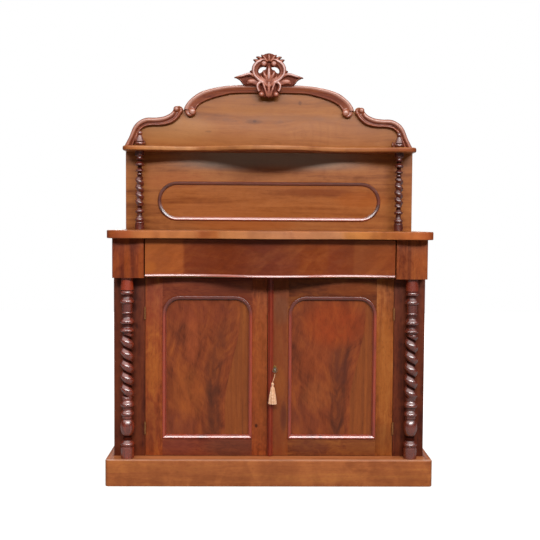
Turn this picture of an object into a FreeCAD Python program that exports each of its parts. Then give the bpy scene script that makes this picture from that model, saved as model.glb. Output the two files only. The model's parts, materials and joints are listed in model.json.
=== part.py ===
import FreeCAD, Part
import math
import os
import re
from FreeCAD import Vector

# A mid-Victorian chiffonier: a two-door cupboard under a frieze drawer and a serpentine top,
# with a raised back, a gallery shelf on small barley-twist columns and a scrolled pediment.
# X runs across the front to the right, Y from the front to the back and Z up, in millimetres.
# The origin is at the middle of the box round the whole piece, on the floor.

doc = FreeCAD.newDocument("Chiffonier")
sheet = doc.addObject("Spreadsheet::Sheet", "Sizes")

# Driving dimensions: alias, size, meaning.
DRIVING = [
    ("overall_depth", 413, "bow of the top board to the back"),
    ("clearance", 0.3, "gap round anything that slides or turns"),
    ("plinth_overhang", 23.5, "carcase to the end of the plinth"),
    ("plinth_height", 93, "floor to the top of the plinth"),
    ("plinth_setback", 60, "bow of the top board to the plinth's face"),
    ("plinth_board", 22, "thickness of the plinth boards"),
    ("plinth_corner", 14, "rounding of the plinth's front corners"),
    ("bottom_board_thickness", 18, "cupboard bottom, let into the plinth"),
    ("carcase_half_width", 555, "middle to the outside of the carcase"),
    ("face_setback", 126, "bow of the top board to the face of the doors"),
    ("stile_width", 110, "front stile behind each column"),
    ("stile_thickness", 22, "front stile, front to back"),
    ("side_thickness", 18, "carcase sides"),
    ("back_thickness", 10, "back boards"),
    ("back_boards", 3, "number of upright boards across the back"),
    ("worktop_height", 903, "floor to the top of the top board"),
    ("top_thickness", 28, "top board"),
    ("top_overhang", 14.5, "carcase to the end of the top board"),
    ("top_hollow_setback", 58, "bow of the top board to its hollows"),
    ("top_lobe_setback", 23, "bow of the top board to its end lobes"),
    ("hollow_offset", 300, "middle to the hollows of the top and drawer"),
    ("top_corner", 43.5, "round front corners of the top board"),
    ("top_rounding", 3, "rounded arrises of the top board"),
    ("frieze_height", 139, "height of the frieze blocks"),
    ("block_inner_gap", 4, "gap between a frieze block and the drawer front"),
    ("block_outer_inset", 3, "carcase end to the outer face of a block"),
    ("block_depth", 60, "frieze block in front of the stile"),
    ("block_rounding", 2, "rounded upright arrises of the blocks"),
    ("rail_thickness", 16, "drawer rail and runners"),
    ("rail_depth", 42, "drawer rail, front to back"),
    ("inner_shelf_height", 322, "cupboard bottom to the underside of its shelf"),
    ("inner_shelf_thickness", 16, "cupboard shelf"),
    ("inner_shelf_setback", 47, "door face to the front of the cupboard shelf"),
    ("bearer_size", 20, "square section of the shelf bearers"),
    ("guide_width", 8, "drawer guide strip"),
    ("guide_height", 24, "drawer guide strip"),
    ("kicker_height", 15, "strip over the drawer side that keeps it level"),
    ("kicker_width", 34, "kicker, across"),
    ("glue_block", 30, "glue block under the top, across and up"),
    ("glue_block_length", 60, "glue block, front to back"),
    # Drawer
    ("drawer_end_inset", 7, "inner edge of a front stile to the end of the drawer front"),
    ("drawer_setback", 35, "top board's edge to the drawer face below it"),
    ("drawer_front_gap", 1, "drawer front to the rail and stiles behind it"),
    ("drawer_top_gap", 3, "top board to the drawer front"),
    ("drawer_drop", 5.5, "underside of the blocks to the underside of the lip"),
    ("lip_height", 9, "bead under the drawer front that serves as its pull"),
    ("lip_projection", 7, "bead in front of the drawer face"),
    ("lip_rounding", 3, "rounded arrises of the bead"),
    ("drawer_side_thickness", 12, "drawer sides"),
    ("drawer_side_height", 104, "drawer sides"),
    ("drawer_side_inset", 2, "drawer front's end to the drawer side"),
    ("drawer_back_gap", 22, "back boards to the back of the drawer"),
    ("drawer_bottom_thickness", 8, "drawer bottom"),
    ("drawer_bottom_rise", 6, "edge of the sides to the drawer bottom"),
    ("drawer_back_thickness", 12, "drawer back"),
    ("drawer_back_drop", 6, "top of the sides to the top of the back"),
    # Doors
    ("door_thickness", 22, "door frames"),
    ("door_gap", 1.6, "gap all round the doors"),
    ("meeting_gap", 2, "gap between the two doors"),
    ("meeting_offset", 7, "how far the meeting gap lies left of the middle"),
    ("door_stile_width", 61, "outer stile of each door"),
    ("meeting_stile_width", 54, "left door's stile at the meeting edge"),
    ("lock_stile_width", 73, "right door's stile at the meeting edge"),
    ("door_top_rail", 65, "top rail of each door"),
    ("door_bottom_rail", 62, "bottom rail of each door"),
    ("arch_radius", 63, "round top corners of the door panels"),
    ("door_panel_sink", 9, "door face to the panel"),
    ("door_panel_thickness", 8, "veneered panel"),
    ("door_bead_width", 13, "bead moulding round the panel"),
    ("door_bead_proud", 5, "bead moulding in front of the door face"),
    ("door_bead_rounding", 3, "rounded arrises of the bead moulding"),
    ("astragal_width", 19, "astragal at the meeting edge"),
    ("astragal_proud", 8, "astragal in front of the door face"),
    ("astragal_rounding", 5, "rounded arrises of the astragal"),
    # Hinges
    ("hinge_height", 44, "butt hinge"),
    ("hinge_low", 195, "floor to the middle of the lower hinges"),
    ("hinge_high", 608, "floor to the middle of the upper hinges"),
    ("knuckle_radius", 3.5, "hinge knuckle"),
    ("pin_radius", 1.6, "hinge pin"),
    ("pin_clearance", 0.05, "hinge pin in its knuckles"),
    ("pin_proud", 4, "door face to the middle of the pin"),
    ("leaf_thickness", 0.6, "hinge leaf"),
    ("leaf_width", 18, "hinge leaf behind the face"),
    ("knuckles", 5, "number of knuckles on a hinge"),
    ("screw_head_radius", 2.6, "hinge screw head"),
    ("screw_radius", 1.4, "hinge screw shank"),
    ("screw_length", 12, "hinge screw in the wood"),
    ("screw_clearance", 0.15, "round a screw"),
    # Lock, key and tassel
    ("key_offset", 19.5, "middle to the key"),
    ("key_height", 409, "floor to the key"),
    ("lock_width", 40, "lock case from the door's edge"),
    ("lock_height", 50, "lock case"),
    ("lock_depth", 14, "lock case, let in from the back of the door"),
    ("lock_bolt_length", 30, "lock bolt"),
    ("lock_bolt_height", 14, "lock bolt"),
    ("lock_bolt_thickness", 4, "lock bolt"),
    ("lock_throw", 8, "travel of the lock bolt"),
    ("keyhole_radius", 3.4, "keyhole through the stile"),
    ("escutcheon_half_width", 6, "brass escutcheon"),
    ("escutcheon_height", 24, "brass escutcheon"),
    ("escutcheon_proud", 1.2, "brass escutcheon in front of the stile"),
    ("key_radius", 2.2, "key shank"),
    ("key_reach", 30, "door face to the middle of the bow"),
    ("bow_radius", 9, "middle of the bow to the middle of its ring"),
    ("bow_section", 1.6, "radius of the bow's ring"),
    ("bit_length", 6, "bit of the key below its shank"),
    ("bit_width", 3, "bit of the key along its shank"),
    ("loop_radius", 3.4, "tassel's loop round the bow"),
    ("cord_diameter", 2, "tassel's cord"),
    ("cord_fall", 30.2, "height of the tassel's cord"),
    ("cord_drift", 8.5, "how far the tassel hangs to the left of the key"),
    ("tassel_ball_radius", 4.6, "ball over the tassel's skirt"),
    ("tassel_neck_radius", 3.6, "neck under the ball"),
    ("tassel_neck_height", 9.6, "neck under the ball"),
    ("tassel_skirt_height", 58, "fringe of the tassel"),
    ("tassel_skirt_radius", 15.5, "fringe of the tassel at its hem"),
    ("tassel_shoulder_radius", 7, "fringe of the tassel at its top"),
    # Barrel bolts on the left door
    ("bolt_radius", 3, "barrel bolt"),
    ("bolt_length", 62, "barrel bolt"),
    ("bolt_travel", 10, "travel of a barrel bolt"),
    ("bolt_end_gap", 2.5, "end of the door to the end of its bolt"),
    ("bolt_edge", 22, "door's meeting edge to its barrel bolts"),
    ("bolt_standoff", 5, "back of the door to the middle of its bolts"),
    ("bolt_plate_width", 16, "plate of a barrel bolt"),
    ("bolt_plate_thickness", 1, "plate of a barrel bolt"),
    ("staple_height", 6, "staples that hold a barrel bolt"),
    # Raised back and gallery
    ("upper_back_inset", 6, "carcase to the end of the raised back"),
    ("upper_back_thickness", 20, "raised back"),
    ("gallery_height", 295, "top board to the underside of the shelf"),
    ("oval_end_margin", 122, "end of the raised back to the bead"),
    ("oval_height", 149, "bead on the raised back, outside"),
    ("oval_rise", 35, "top board to the bead"),
    ("oval_bead_width", 13, "bead on the raised back"),
    ("oval_bead_proud", 7, "bead on the raised back"),
    ("oval_bead_rounding", 3, "rounded arrises of the bead"),
    ("shelf_thickness", 18, "gallery shelf"),
    ("shelf_overhang", 2, "raised back to the end of the gallery shelf"),
    ("shelf_projection", 178, "back to the bow of the gallery shelf"),
    ("shelf_hollow_setback", 86, "bow of the shelf to its hollows"),
    ("shelf_lobe_setback", 61, "bow of the shelf to its end lobes"),
    ("shelf_hollow_offset", 310, "middle to the hollows of the shelf"),
    ("shelf_corner", 29, "round front corners of the gallery shelf"),
    ("shelf_rounding", 6, "rounded arrises of the shelf"),
    ("small_column_margin", 59, "end of the raised back to the middle of a small column"),
    ("small_column_inset", 68, "back to the middle of the small columns"),
    ("finial_margin", 60, "end of the raised back to the middle of a finial"),
    # Columns
    ("column_margin", 51, "carcase end to the middle of a column"),
    ("column_inset", 26, "door face to the middle of the columns"),
    ("column_twist_width", 47, "twist of the columns over its lobes"),
    ("column_twist_depth", 10, "depth of the twist's hollow"),
    ("column_twist_pitch", 43, "rise of one turn of the twist"),
    ("small_twist_width", 29, "twist of the small columns"),
    ("small_twist_depth", 7, "depth of the small twist's hollow"),
    ("small_twist_pitch", 26.5, "rise of one turn of the small twist"),
    ("left_twist_turn", 128, "degrees round to where the left twist starts"),
    ("right_twist_turn", 52, "degrees round to where the right twist starts"),
    ("small_left_twist_turn", 71, "degrees round to where the small left twist starts"),
    ("small_right_twist_turn", 228, "degrees round to where the small right twist starts"),
    # Pediment and crest
    ("pediment_rise", 236, "gallery shelf to the crown of the arch"),
    ("pediment_overhang", 0, "raised back to the foot of the scrolls"),
    ("pediment_panel_thickness", 20, "board behind the rails"),
    ("pediment_rail_proud", 20, "carved rails in front of the board"),
    ("arch_volute_radius", 20, "eye at the end of the arch rail"),
    ("scroll_volute_radius", 13, "eye at the foot of the scroll"),
    ("pediment_offset", 3, "how far the pediment stands left of the middle"),
    ("crest_rise", 119, "crown of the arch to the tip of the crest"),
    ("crest_half_width", 125, "middle to the tip of a crest leaf"),
    ("crest_eye_radius", 11, "eyes in which the crest's heart scrolls end"),
    ("crest_offset", 5, "how far the crest stands left of the middle"),
    ("crest_thickness", 22, "carved crest in front of the rail"),
]

# Turned parts from the bottom up: name, form, height, greatest or least diameter.
COLUMN_BASE = [
    ("foot", "drum", 40, 48.6),
    ("foot_groove", "cove", 5, 40),
    ("bun", "bead", 31, 48.6),
    ("bun_neck", "drum", 3, 30),
    ("baluster", "egg", 74, 51),
    ("baluster_neck", "drum", 5, 28),
    ("low_ring", "bead", 20, 41),
    ("low_cove", "cove", 18, 30),
    ("twist_ring", "bead", 18, 43),
]
COLUMN_HEAD = [
    ("twist_cove", "cove", 5, 36),
    ("head_ring", "bead", 14, 48),
    ("head_cove", "cove", 20, 34),
    ("second_ring", "bead", 17, 46),
    ("second_cove", "cove", 12, 30),
    ("fillet_ring", "drum", 6, 38),
    ("neck_drum", "drum", 31, 34.5),
    ("third_ring", "bead", 16, 45),
    ("scotia", "cove", 17, 28),
    ("cap_ring", "bead", 13, 46.5),
    ("cap_gap", "drum", 3, 36),
    ("cap", "taper", 44, 45),
]
SMALL_BASE = [
    ("foot", "drum", 21, 35),
    ("foot_ring", "drum", 5, 31),
    ("foot_cove", "cove", 10, 20),
    ("ball", "bead", 18, 29),
    ("neck", "drum", 11, 17),
    ("bell", "bell", 16, 32),
    ("twist_bead", "bead", 12, 24),
]
SMALL_HEAD = [
    ("head_bead", "bead", 12, 22),
    ("head_cove", "cove", 8, 16),
    ("head_bell", "bell", 14, 30),
    ("head_neck", "drum", 11, 17),
    ("head_ring", "bead", 11, 34),
    ("head_gap", "drum", 3, 22),
    ("thin_ring", "drum", 3, 28),
    ("cap_cove", "cove", 17, 22),
    ("cap", "drum", 16, 35),
]
FINIAL = [
    ("base", "bead", 14, 30),
    ("stem", "drum", 10, 15),
    ("rim", "drum", 3, 30),
    ("bell", "bell", 14, 23),
    ("neck", "drum", 9, 11),
    ("button", "bead", 8, 18),
]
TURNINGS = {
    "column_base": COLUMN_BASE,
    "column_head": COLUMN_HEAD,
    "small_base": SMALL_BASE,
    "small_head": SMALL_HEAD,
    "finial": FINIAL,
}

# Places worked out from the driving dimensions: alias, formula.
DERIVED = [
    ("front_y", "-overall_depth / 2"),
    ("back_y", "overall_depth / 2"),
    ("plinth_y", "front_y + plinth_setback"),
    ("face_y", "front_y + face_setback"),
    ("stile_back_y", "face_y + stile_thickness"),
    ("back_board_y", "back_y - back_thickness"),
    ("stile_x", "carcase_half_width - stile_width"),
    ("side_x", "carcase_half_width - side_thickness"),
    ("plinth_half_width", "carcase_half_width + plinth_overhang"),
    ("plinth_inner_x", "plinth_half_width - plinth_board"),
    ("top_half_width", "carcase_half_width + top_overhang"),
    ("lobe_offset", "top_half_width - top_corner"),
    ("column_offset", "carcase_half_width - column_margin"),
    ("top_z", "worktop_height - top_thickness"),
    ("frieze_z", "top_z - frieze_height"),
    ("rail_top_z", "frieze_z + rail_thickness"),
    ("drawer_half_width", "stile_x - drawer_end_inset"),
    ("block_inner_x", "drawer_half_width + block_inner_gap"),
    ("inner_shelf_z", "plinth_height + inner_shelf_height"),
    ("drawer_z", "frieze_z + drawer_drop"),
    ("drawer_side_x", "drawer_half_width - drawer_side_inset"),
    ("drawer_box_x", "drawer_side_x - drawer_side_thickness"),
    ("drawer_back_y", "back_board_y - drawer_back_gap"),
    ("drawer_side_z", "rail_top_z + clearance"),
    ("drawer_side_top_z", "drawer_side_z + drawer_side_height"),
    ("drawer_floor_z", "drawer_side_z + drawer_bottom_rise"),
    ("door_low_z", "plinth_height + door_gap"),
    ("door_high_z", "frieze_z - door_gap"),
    ("door_outer_x", "stile_x - door_gap"),
    ("left_edge_x", "-meeting_offset - meeting_gap / 2"),
    ("right_edge_x", "-meeting_offset + meeting_gap / 2"),
    ("door_back_y", "face_y + door_thickness"),
    ("panel_low_z", "door_low_z + door_bottom_rail"),
    ("panel_high_z", "door_high_z - door_top_rail"),
    ("panel_y", "face_y + door_panel_sink"),
    ("panel_outer_x", "door_outer_x - door_stile_width"),
    ("left_panel_x", "left_edge_x - meeting_stile_width"),
    ("right_panel_x", "right_edge_x + lock_stile_width"),
    ("pin_x", "stile_x - door_gap / 2"),
    ("pin_y", "face_y - pin_proud"),
    ("bolt_x", "left_edge_x - bolt_edge"),
    ("bolt_y", "door_back_y + bolt_standoff"),
    ("lock_y", "door_back_y - lock_depth"),
    ("lock_bolt_y", "lock_y + lock_depth / 2"),
    ("bow_y", "face_y - key_reach"),
    ("loop_z", "key_height - bow_radius - clearance"),
    ("cord_high_z", "loop_z - loop_radius - cord_diameter / 2"),
    ("cord_low_z", "cord_high_z - cord_fall"),
    ("tassel_x", "key_offset - cord_drift"),
    ("upper_back_half_width", "carcase_half_width - upper_back_inset"),
    ("upper_back_y", "back_y - upper_back_thickness"),
    ("oval_half_width", "upper_back_half_width - oval_end_margin"),
    ("shelf_half_width", "upper_back_half_width + shelf_overhang"),
    ("shelf_lobe_offset", "shelf_half_width - shelf_corner"),
    ("pediment_half_width", "upper_back_half_width + pediment_overhang"),
    ("small_column_offset", "upper_back_half_width - small_column_margin"),
    ("finial_offset", "upper_back_half_width - finial_margin"),
    ("shelf_z", "worktop_height + gallery_height"),
    ("shelf_top_z", "shelf_z + shelf_thickness"),
    ("crown_z", "shelf_top_z + pediment_rise"),
    ("rail_y", "back_y - pediment_panel_thickness"),
    ("crest_y", "rail_y - pediment_rail_proud"),
    ("column_y", "face_y - column_inset"),
    ("small_column_y", "back_y - small_column_inset"),
]

BEAD_FALL = 0.45  # how far a bead's ends fall back, as a share of its height
COVE_OPENING = 0.3  # how far a cove's ends stand out, as a share of its height
EGG_ENDS = 0.6  # ends of a baluster, as a share of its greatest width
BELL_NECK = 0.5  # top of a bell, as a share of its mouth
CAP_TAPER = 0.81  # top of a tapered cap, as a share of its foot


def fill_sheet():
    """Write the driving sizes as plain numbers and the places as formulas."""
    rows = [(alias, str(value), meaning) for alias, value, meaning in DRIVING]
    for group, elements in TURNINGS.items():
        for name, form, height, width in elements:
            rows.append((f"{group}_{name}_height", str(height), f"{form}, height"))
            rows.append((f"{group}_{name}_width", str(width), f"{form}, diameter"))
    rows += [(alias, "=" + formula, "worked out") for alias, formula in DERIVED]
    for row, (alias, content, meaning) in enumerate(rows, start=1):
        sheet.set(f"A{row}", meaning)
        sheet.set(f"B{row}", content)
        sheet.setAlias(f"B{row}", alias)
    doc.recompute()
    return {alias for alias, content, meaning in rows}


ALIASES = fill_sheet()


def size(alias):
    return float(sheet.get(alias))


def linked(formula):
    """The formula with each alias pointing at the sheet."""
    return re.sub(r"[a-z][a-z_]*", lambda word: f"Sizes.{word.group()}"
                  if word.group() in ALIASES else word.group(), formula)


def place(thing, x="0", y="0", z="0"):
    for axis, formula in (("x", x), ("y", y), ("z", z)):
        thing.setExpression(f"Placement.Base.{axis}", linked(formula))
    return thing


def named(thing, label):
    thing.Label = label
    return thing


def reflected(span, side):
    """A span of X for the right side, or its mirror image for the left side."""
    low, high = span
    return span if side > 0 else (f"-({high})", f"-({low})")


def board(label, x, y, z):
    """A plain board between two formulas on each axis."""
    box = named(doc.addObject("Part::Box", label), label)
    for side, (low, high) in (("Length", x), ("Width", y), ("Height", z)):
        box.setExpression(side, linked(f"({high}) - ({low})"))
    return place(box, x[0], y[0], z[0])


def rod(label, radius, length, x, y, z, direction=Vector(0, 0, 1)):
    """A round rod from a point along a direction."""
    cylinder = named(doc.addObject("Part::Cylinder", label), label)
    cylinder.setExpression("Radius", linked(radius))
    cylinder.setExpression("Height", linked(length))
    cylinder.Placement.Rotation = FreeCAD.Rotation(Vector(0, 0, 1), direction)
    return place(cylinder, x, y, z)


def group(label, members):
    """Separate solids that share one node."""
    compound = named(doc.addObject("Part::Compound", label), label)
    compound.Links = members
    return compound


def joined(label, members):
    fusion = named(doc.addObject("Part::MultiFuse", label), label)
    fusion.Shapes = members
    return fusion


def cut(label, base, tools):
    """The base without the space of its tools."""
    result = named(doc.addObject("Part::Cut", label), label)
    result.Base = base
    result.Tool = tools[0] if len(tools) == 1 else joined(f"{label}_cutter", tools)
    return result


def rounded(label, base, radius, wanted):
    """The base with the edges that the test picks rounded."""
    doc.recompute()
    result = named(doc.addObject("Part::Fillet", label), label)
    result.Base = base
    result.Edges = [
        (number, size(radius), size(radius))
        for number, edge in enumerate(base.Shape.Edges, start=1)
        if wanted(edge)
    ]
    return result


def plane_of(body, role):
    return next(item for item in body.Origin.OriginFeatures if item.Role == role)


def sketch_in(body, role, geometry):
    sketch = body.newObject("Sketcher::SketchObject", f"{body.Name}_sketch")
    sketch.AttachmentSupport = [(plane_of(body, role), "")]
    sketch.MapMode = "FlatFace"
    sketch.addGeometry(geometry)
    return sketch


def padded(label, role, outlines, thickness):
    """A body of one pad for each closed outline, all of one thickness."""
    body = named(doc.addObject("PartDesign::Body", label), label)
    for outline in outlines:
        sketch = sketch_in(body, role, outline)
        pad = body.newObject("PartDesign::Pad", f"{label}_pad")
        pad.Profile = sketch
        pad.setExpression("Length", linked(thickness))
        sketch.Visibility = False
    return body


def rounded_body(body, radius, wanted):
    """Round the picked edges of the body's last feature."""
    doc.recompute()
    tip = body.Tip
    names = [f"Edge{n}" for n, edge in enumerate(tip.Shape.Edges, start=1) if wanted(edge)]
    fillet = body.newObject("PartDesign::Fillet", f"{body.Name}_fillet")
    fillet.Base = (tip, names)
    fillet.setExpression("Radius", linked(radius))
    body.Tip = fillet
    return body


def line(start, end):
    return Part.LineSegment(start, end)


def polygon(points):
    """Straight runs from each point to the next, and back to the first."""
    return [line(a, b) for a, b in zip(points, points[1:] + points[:1])]


def spline(points):
    curve = Part.BSplineCurve()
    curve.interpolate(points)
    return curve


# ---------------------------------------------------------------- turned parts


def turned_profile(group_name):
    """The outline of a stack of turned elements, from the axis and back to it."""
    geometry = []
    height = 0.0
    last = Vector(0, 0, 0)
    for name, form, _, _ in TURNINGS[group_name]:
        tall = size(f"{group_name}_{name}_height")
        radius = size(f"{group_name}_{name}_width") / 2
        ends = {
            "drum": (radius, radius, radius),
            "bead": (radius - BEAD_FALL * tall, radius, radius - BEAD_FALL * tall),
            "cove": (radius + COVE_OPENING * tall, radius, radius + COVE_OPENING * tall),
            "egg": (EGG_ENDS * radius, radius, EGG_ENDS * radius),
            "bell": (radius, (0.35 + BELL_NECK / 2) * radius, BELL_NECK * radius),
            "taper": (radius, (1 + CAP_TAPER) / 2 * radius, CAP_TAPER * radius),
        }[form]
        low, middle, high = (
            Vector(r, height + share * tall, 0) for r, share in zip(ends, (0, 0.5, 1))
        )
        if low.distanceToPoint(last) > 1e-6:
            geometry.append(line(last, low))
        straight = form in ("drum", "taper")
        geometry.append(line(low, high) if straight else Part.Arc(low, middle, high))
        last = high
        height += tall
    top = Vector(0, height, 0)
    return geometry + [line(last, top), line(top, Vector(0, 0, 0))], height


def turned(label, group_name, x, y, z):
    """A turned stack that stands at a place."""
    body = named(doc.addObject("PartDesign::Body", label), label)
    geometry, height = turned_profile(group_name)
    sketch = sketch_in(body, "XZ_Plane", geometry)
    turning = body.newObject("PartDesign::Revolution", f"{label}_turning")
    turning.Profile = sketch
    turning.ReferenceAxis = (sketch, ["V_Axis"])
    turning.Angle = 360
    place(body, x, y, z)
    return body, height


def twist(label, prefix, length):
    """A left-handed single twist: a round section carried about the axis as it climbs."""
    width = size(f"{prefix}_width")
    depth = size(f"{prefix}_depth")
    spine = Part.Wire([Part.makeLine(Vector(0, 0, 0), Vector(0, 0, length))])
    helix = Part.makeHelix(size(f"{prefix}_pitch"), length, width / 2, 0, True)
    section = Part.makeCircle((width - depth) / 2, Vector(depth / 2, 0, 0))
    pipe = Part.BRepOffsetAPI.MakePipeShell(spine)
    pipe.setAuxiliarySpine(Part.Wire(helix.Edges), True, 0)
    pipe.add(Part.Wire([section]))
    pipe.build()
    pipe.makeSolid()
    feature = named(doc.addObject("Part::Feature", label), label)
    feature.Shape = pipe.shape()
    return feature


def twist_column(label, base, head, prefix, turn, x, y, low, high):
    """A column with a turned base and head, and a twist that fills what is left."""
    lower, lower_height = turned(f"{label}_lower", base, x, y, low)
    head_height = turned_profile(head)[1]
    upper, _ = turned(f"{label}_upper", head, x, y, f"{high} - {head_height}")
    length = size(high) - size(low) - lower_height - head_height
    middle = twist(f"{label}_twist", prefix, length)
    middle.Placement.Rotation = FreeCAD.Rotation(Vector(0, 0, 1), size(turn))
    place(middle, x, y, f"{low} + {lower_height}")
    return joined(label, [lower, middle, upper])


# ---------------------------------------------------------- serpentine boards


def swell(start, end):
    """Two equal tangent arcs between a crest and a hollow, level at both."""
    run = (end.x - start.x) / 2
    rise = end.y - start.y
    radius = (4 * run**2 + rise**2) / (4 * abs(rise))
    half_turn = math.asin(abs(run) / radius) / 2
    across = math.copysign(radius * math.sin(half_turn), run)
    up = math.copysign(radius * (1 - math.cos(half_turn)), rise)
    middle = (start + end) / 2
    first = Part.Arc(start, start + Vector(across, up, 0), middle)
    second = Part.Arc(middle, end - Vector(across, up, 0), end)
    return [first, second]


def serpentine(stations):
    """A front edge from the left end to the right one, through mirrored stations."""
    left = [Vector(-point.x, point.y, 0) for point in reversed(stations)]
    points = left + stations[1:]
    edges = []
    for start, end in zip(points, points[1:]):
        edges += swell(start, end)
    return edges


def lobed_outline(stations, half_width, back):
    """A serpentine board with quarter-round front corners."""
    lobe = stations[-1]
    corner = half_width - lobe.x
    turn = corner * math.sqrt(0.5)
    outline = serpentine(stations)
    shoulder = lobe.y + corner
    for side in (1, -1):
        start = Vector(side * lobe.x, lobe.y, 0)
        middle = Vector(side * (lobe.x + turn), shoulder - turn, 0)
        end = Vector(side * half_width, shoulder, 0)
        outline.append(Part.Arc(start, middle, end))
        outline.append(line(end, Vector(side * half_width, back, 0)))
    outline.append(line(Vector(-half_width, back, 0), Vector(half_width, back, 0)))
    return outline


def level_edge_off(back):
    """A test for a level edge that doesn't lie along the back."""
    def wanted(edge):
        box = edge.BoundBox
        return box.ZLength < 1e-6 and box.YMin < back - 1e-6
    return wanted


def make_top():
    bow = size("front_y")
    stations = [
        Vector(0, bow, 0),
        Vector(size("hollow_offset"), bow + size("top_hollow_setback"), 0),
        Vector(size("lobe_offset"), bow + size("top_lobe_setback"), 0),
    ]
    outline = lobed_outline(stations, size("top_half_width"), size("back_y"))
    body = padded("top_board", "XY_Plane", [outline], "top_thickness")
    rounded_body(body, "top_rounding", level_edge_off(size("back_y")))
    return place(body, z="top_z")


def make_gallery_shelf():
    bow = size("back_y") - size("shelf_projection")
    stations = [
        Vector(0, bow, 0),
        Vector(size("shelf_hollow_offset"), bow + size("shelf_hollow_setback"), 0),
        Vector(size("shelf_lobe_offset"), bow + size("shelf_lobe_setback"), 0),
    ]
    outline = lobed_outline(stations, size("shelf_half_width"), size("back_y"))
    body = padded("gallery_shelf", "XY_Plane", [outline], "shelf_thickness")
    rounded_body(body, "shelf_rounding", level_edge_off(size("back_y")))
    return place(body, z="shelf_z")


# -------------------------------------------------------------------- carcase


def make_plinth():
    front = board("plinth_front_blank", ("-plinth_half_width", "plinth_half_width"),
                  ("plinth_y", "plinth_y + plinth_board"), ("0", "plinth_height"))
    face = size("plinth_y")
    corners = rounded("plinth_front", front, "plinth_corner", lambda edge: (
        edge.BoundBox.ZLength > 1 and edge.BoundBox.YMax < face + 1e-6))
    sides = [
        board(f"plinth_side_{side}", reflected(("plinth_inner_x", "plinth_half_width"), side),
              ("plinth_y + plinth_board", "back_y"), ("0", "plinth_height"))
        for side in (-1, 1)
    ]
    back = board("plinth_back", ("-plinth_inner_x", "plinth_inner_x"),
                 ("back_y - plinth_board", "back_y"), ("0", "plinth_height"))
    return [corners, group("plinth_sides", sides), back]


def make_bottom_board():
    """The cupboard's floor, with a hole for the lower barrel bolt."""
    blank = board("bottom_board_blank", ("-plinth_inner_x", "plinth_inner_x"),
                  ("plinth_y + plinth_board", "back_y - plinth_board"),
                  ("plinth_height - bottom_board_thickness", "plinth_height"))
    hole = rod("bottom_board_hole", "bolt_radius + 2 * clearance", "bottom_board_thickness",
               "bolt_x", "bolt_y", "plinth_height - bolt_travel - clearance")
    return cut("bottom_board", blank, [hole])


def make_drawer_rail():
    """The rail under the drawer, with a hole for the upper barrel bolt."""
    blank = board("drawer_rail_blank", ("-stile_x", "stile_x"),
                  ("face_y", "face_y + rail_depth"), ("frieze_z", "rail_top_z"))
    hole = rod("drawer_rail_hole", "bolt_radius + 2 * clearance", "bolt_travel",
               "bolt_x", "bolt_y", "frieze_z - clearance")
    return cut("drawer_rail", blank, [hole])


def make_ends():
    """Sides, front stiles and frieze blocks at both ends."""
    parts = []
    for name, side in (("left", -1), ("right", 1)):
        parts.append(board(f"side_{name}", reflected(("side_x", "carcase_half_width"), side),
                           ("stile_back_y", "back_board_y"), ("plinth_height", "top_z")))
        stile = board(f"stile_{name}_blank", reflected(("stile_x", "carcase_half_width"), side),
                      ("face_y", "stile_back_y"), ("plinth_height", "top_z"))
        parts.append(cut(f"stile_{name}", stile, hinge_screw_holes(side, "fixed")))
        block = board(f"block_{name}_blank", reflected(
            ("block_inner_x", "carcase_half_width - block_outer_inset"), side),
            ("face_y - block_depth", "face_y"), ("frieze_z", "top_z"))
        front = size("face_y") - size("block_depth")
        parts.append(rounded(f"block_{name}", block, "block_rounding", lambda edge: (
            edge.BoundBox.ZLength > 1 and edge.BoundBox.YMax < front + 1e-6)))
    return parts


def make_back_boards():
    """Upright boards that close the back."""
    count = int(size("back_boards"))
    width = "2 * carcase_half_width / back_boards"
    boards = [
        board(f"back_board_{n}", (f"-carcase_half_width + {n} * {width}",
                                  f"-carcase_half_width + {n + 1} * {width}"),
              ("back_board_y", "back_y"), ("plinth_height", "top_z"))
        for n in range(count)
    ]
    return group("back_boards", boards)


def make_inner_shelf():
    shelf = board("cupboard_shelf", ("-side_x", "side_x"),
                  ("face_y + inner_shelf_setback", "back_board_y"),
                  ("inner_shelf_z", "inner_shelf_z + inner_shelf_thickness"))
    bearers = [
        board(f"shelf_bearer_{side}", reflected(("side_x - bearer_size", "side_x"), side),
              ("face_y + inner_shelf_setback", "back_board_y"),
              ("inner_shelf_z - bearer_size", "inner_shelf_z"))
        for side in (-1, 1)
    ]
    return [shelf, group("shelf_bearers", bearers)]


def make_drawer_runners():
    """Under each end of the drawer: a runner, a guide beside it and a kicker above it."""
    strips = []
    for side in (-1, 1):
        guide = ("drawer_side_x + 2 * clearance", "drawer_side_x + 2 * clearance + guide_width")
        depth = ("stile_back_y", "back_board_y")
        strips += [
            board(f"runner_{side}", reflected(("stile_x", "side_x"), side), depth,
                  ("frieze_z", "rail_top_z")),
            board(f"runner_lip_{side}", reflected(("drawer_box_x", "stile_x"), side),
                  ("face_y + rail_depth", "back_board_y"), ("frieze_z", "rail_top_z")),
            board(f"guide_{side}", reflected(guide, side),
                  ("face_y + rail_depth", "back_board_y"),
                  ("rail_top_z", "rail_top_z + guide_height")),
            board(f"kicker_{side}", reflected(("drawer_side_x - kicker_width / 2",
                                               "drawer_side_x + kicker_width / 2"), side),
                  depth, ("top_z - kicker_height", "top_z")),
        ]
    return group("drawer_runners", strips)


def make_glue_blocks():
    """Square glue blocks in the corners under the top board."""
    depth = ("stile_back_y", "back_board_y - glue_block_length")
    blocks = []
    for side in (-1, 1):
        for end, y in enumerate(depth):
            blocks.append(board(
                f"glue_block_{side}_{end}", reflected(("side_x - glue_block", "side_x"), side),
                (y, f"{y} + glue_block_length"), ("top_z - glue_block", "top_z")))
    return group("glue_blocks", blocks)


# --------------------------------------------------------------------- hinges

HINGES = ("hinge_low", "hinge_high")


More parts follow.
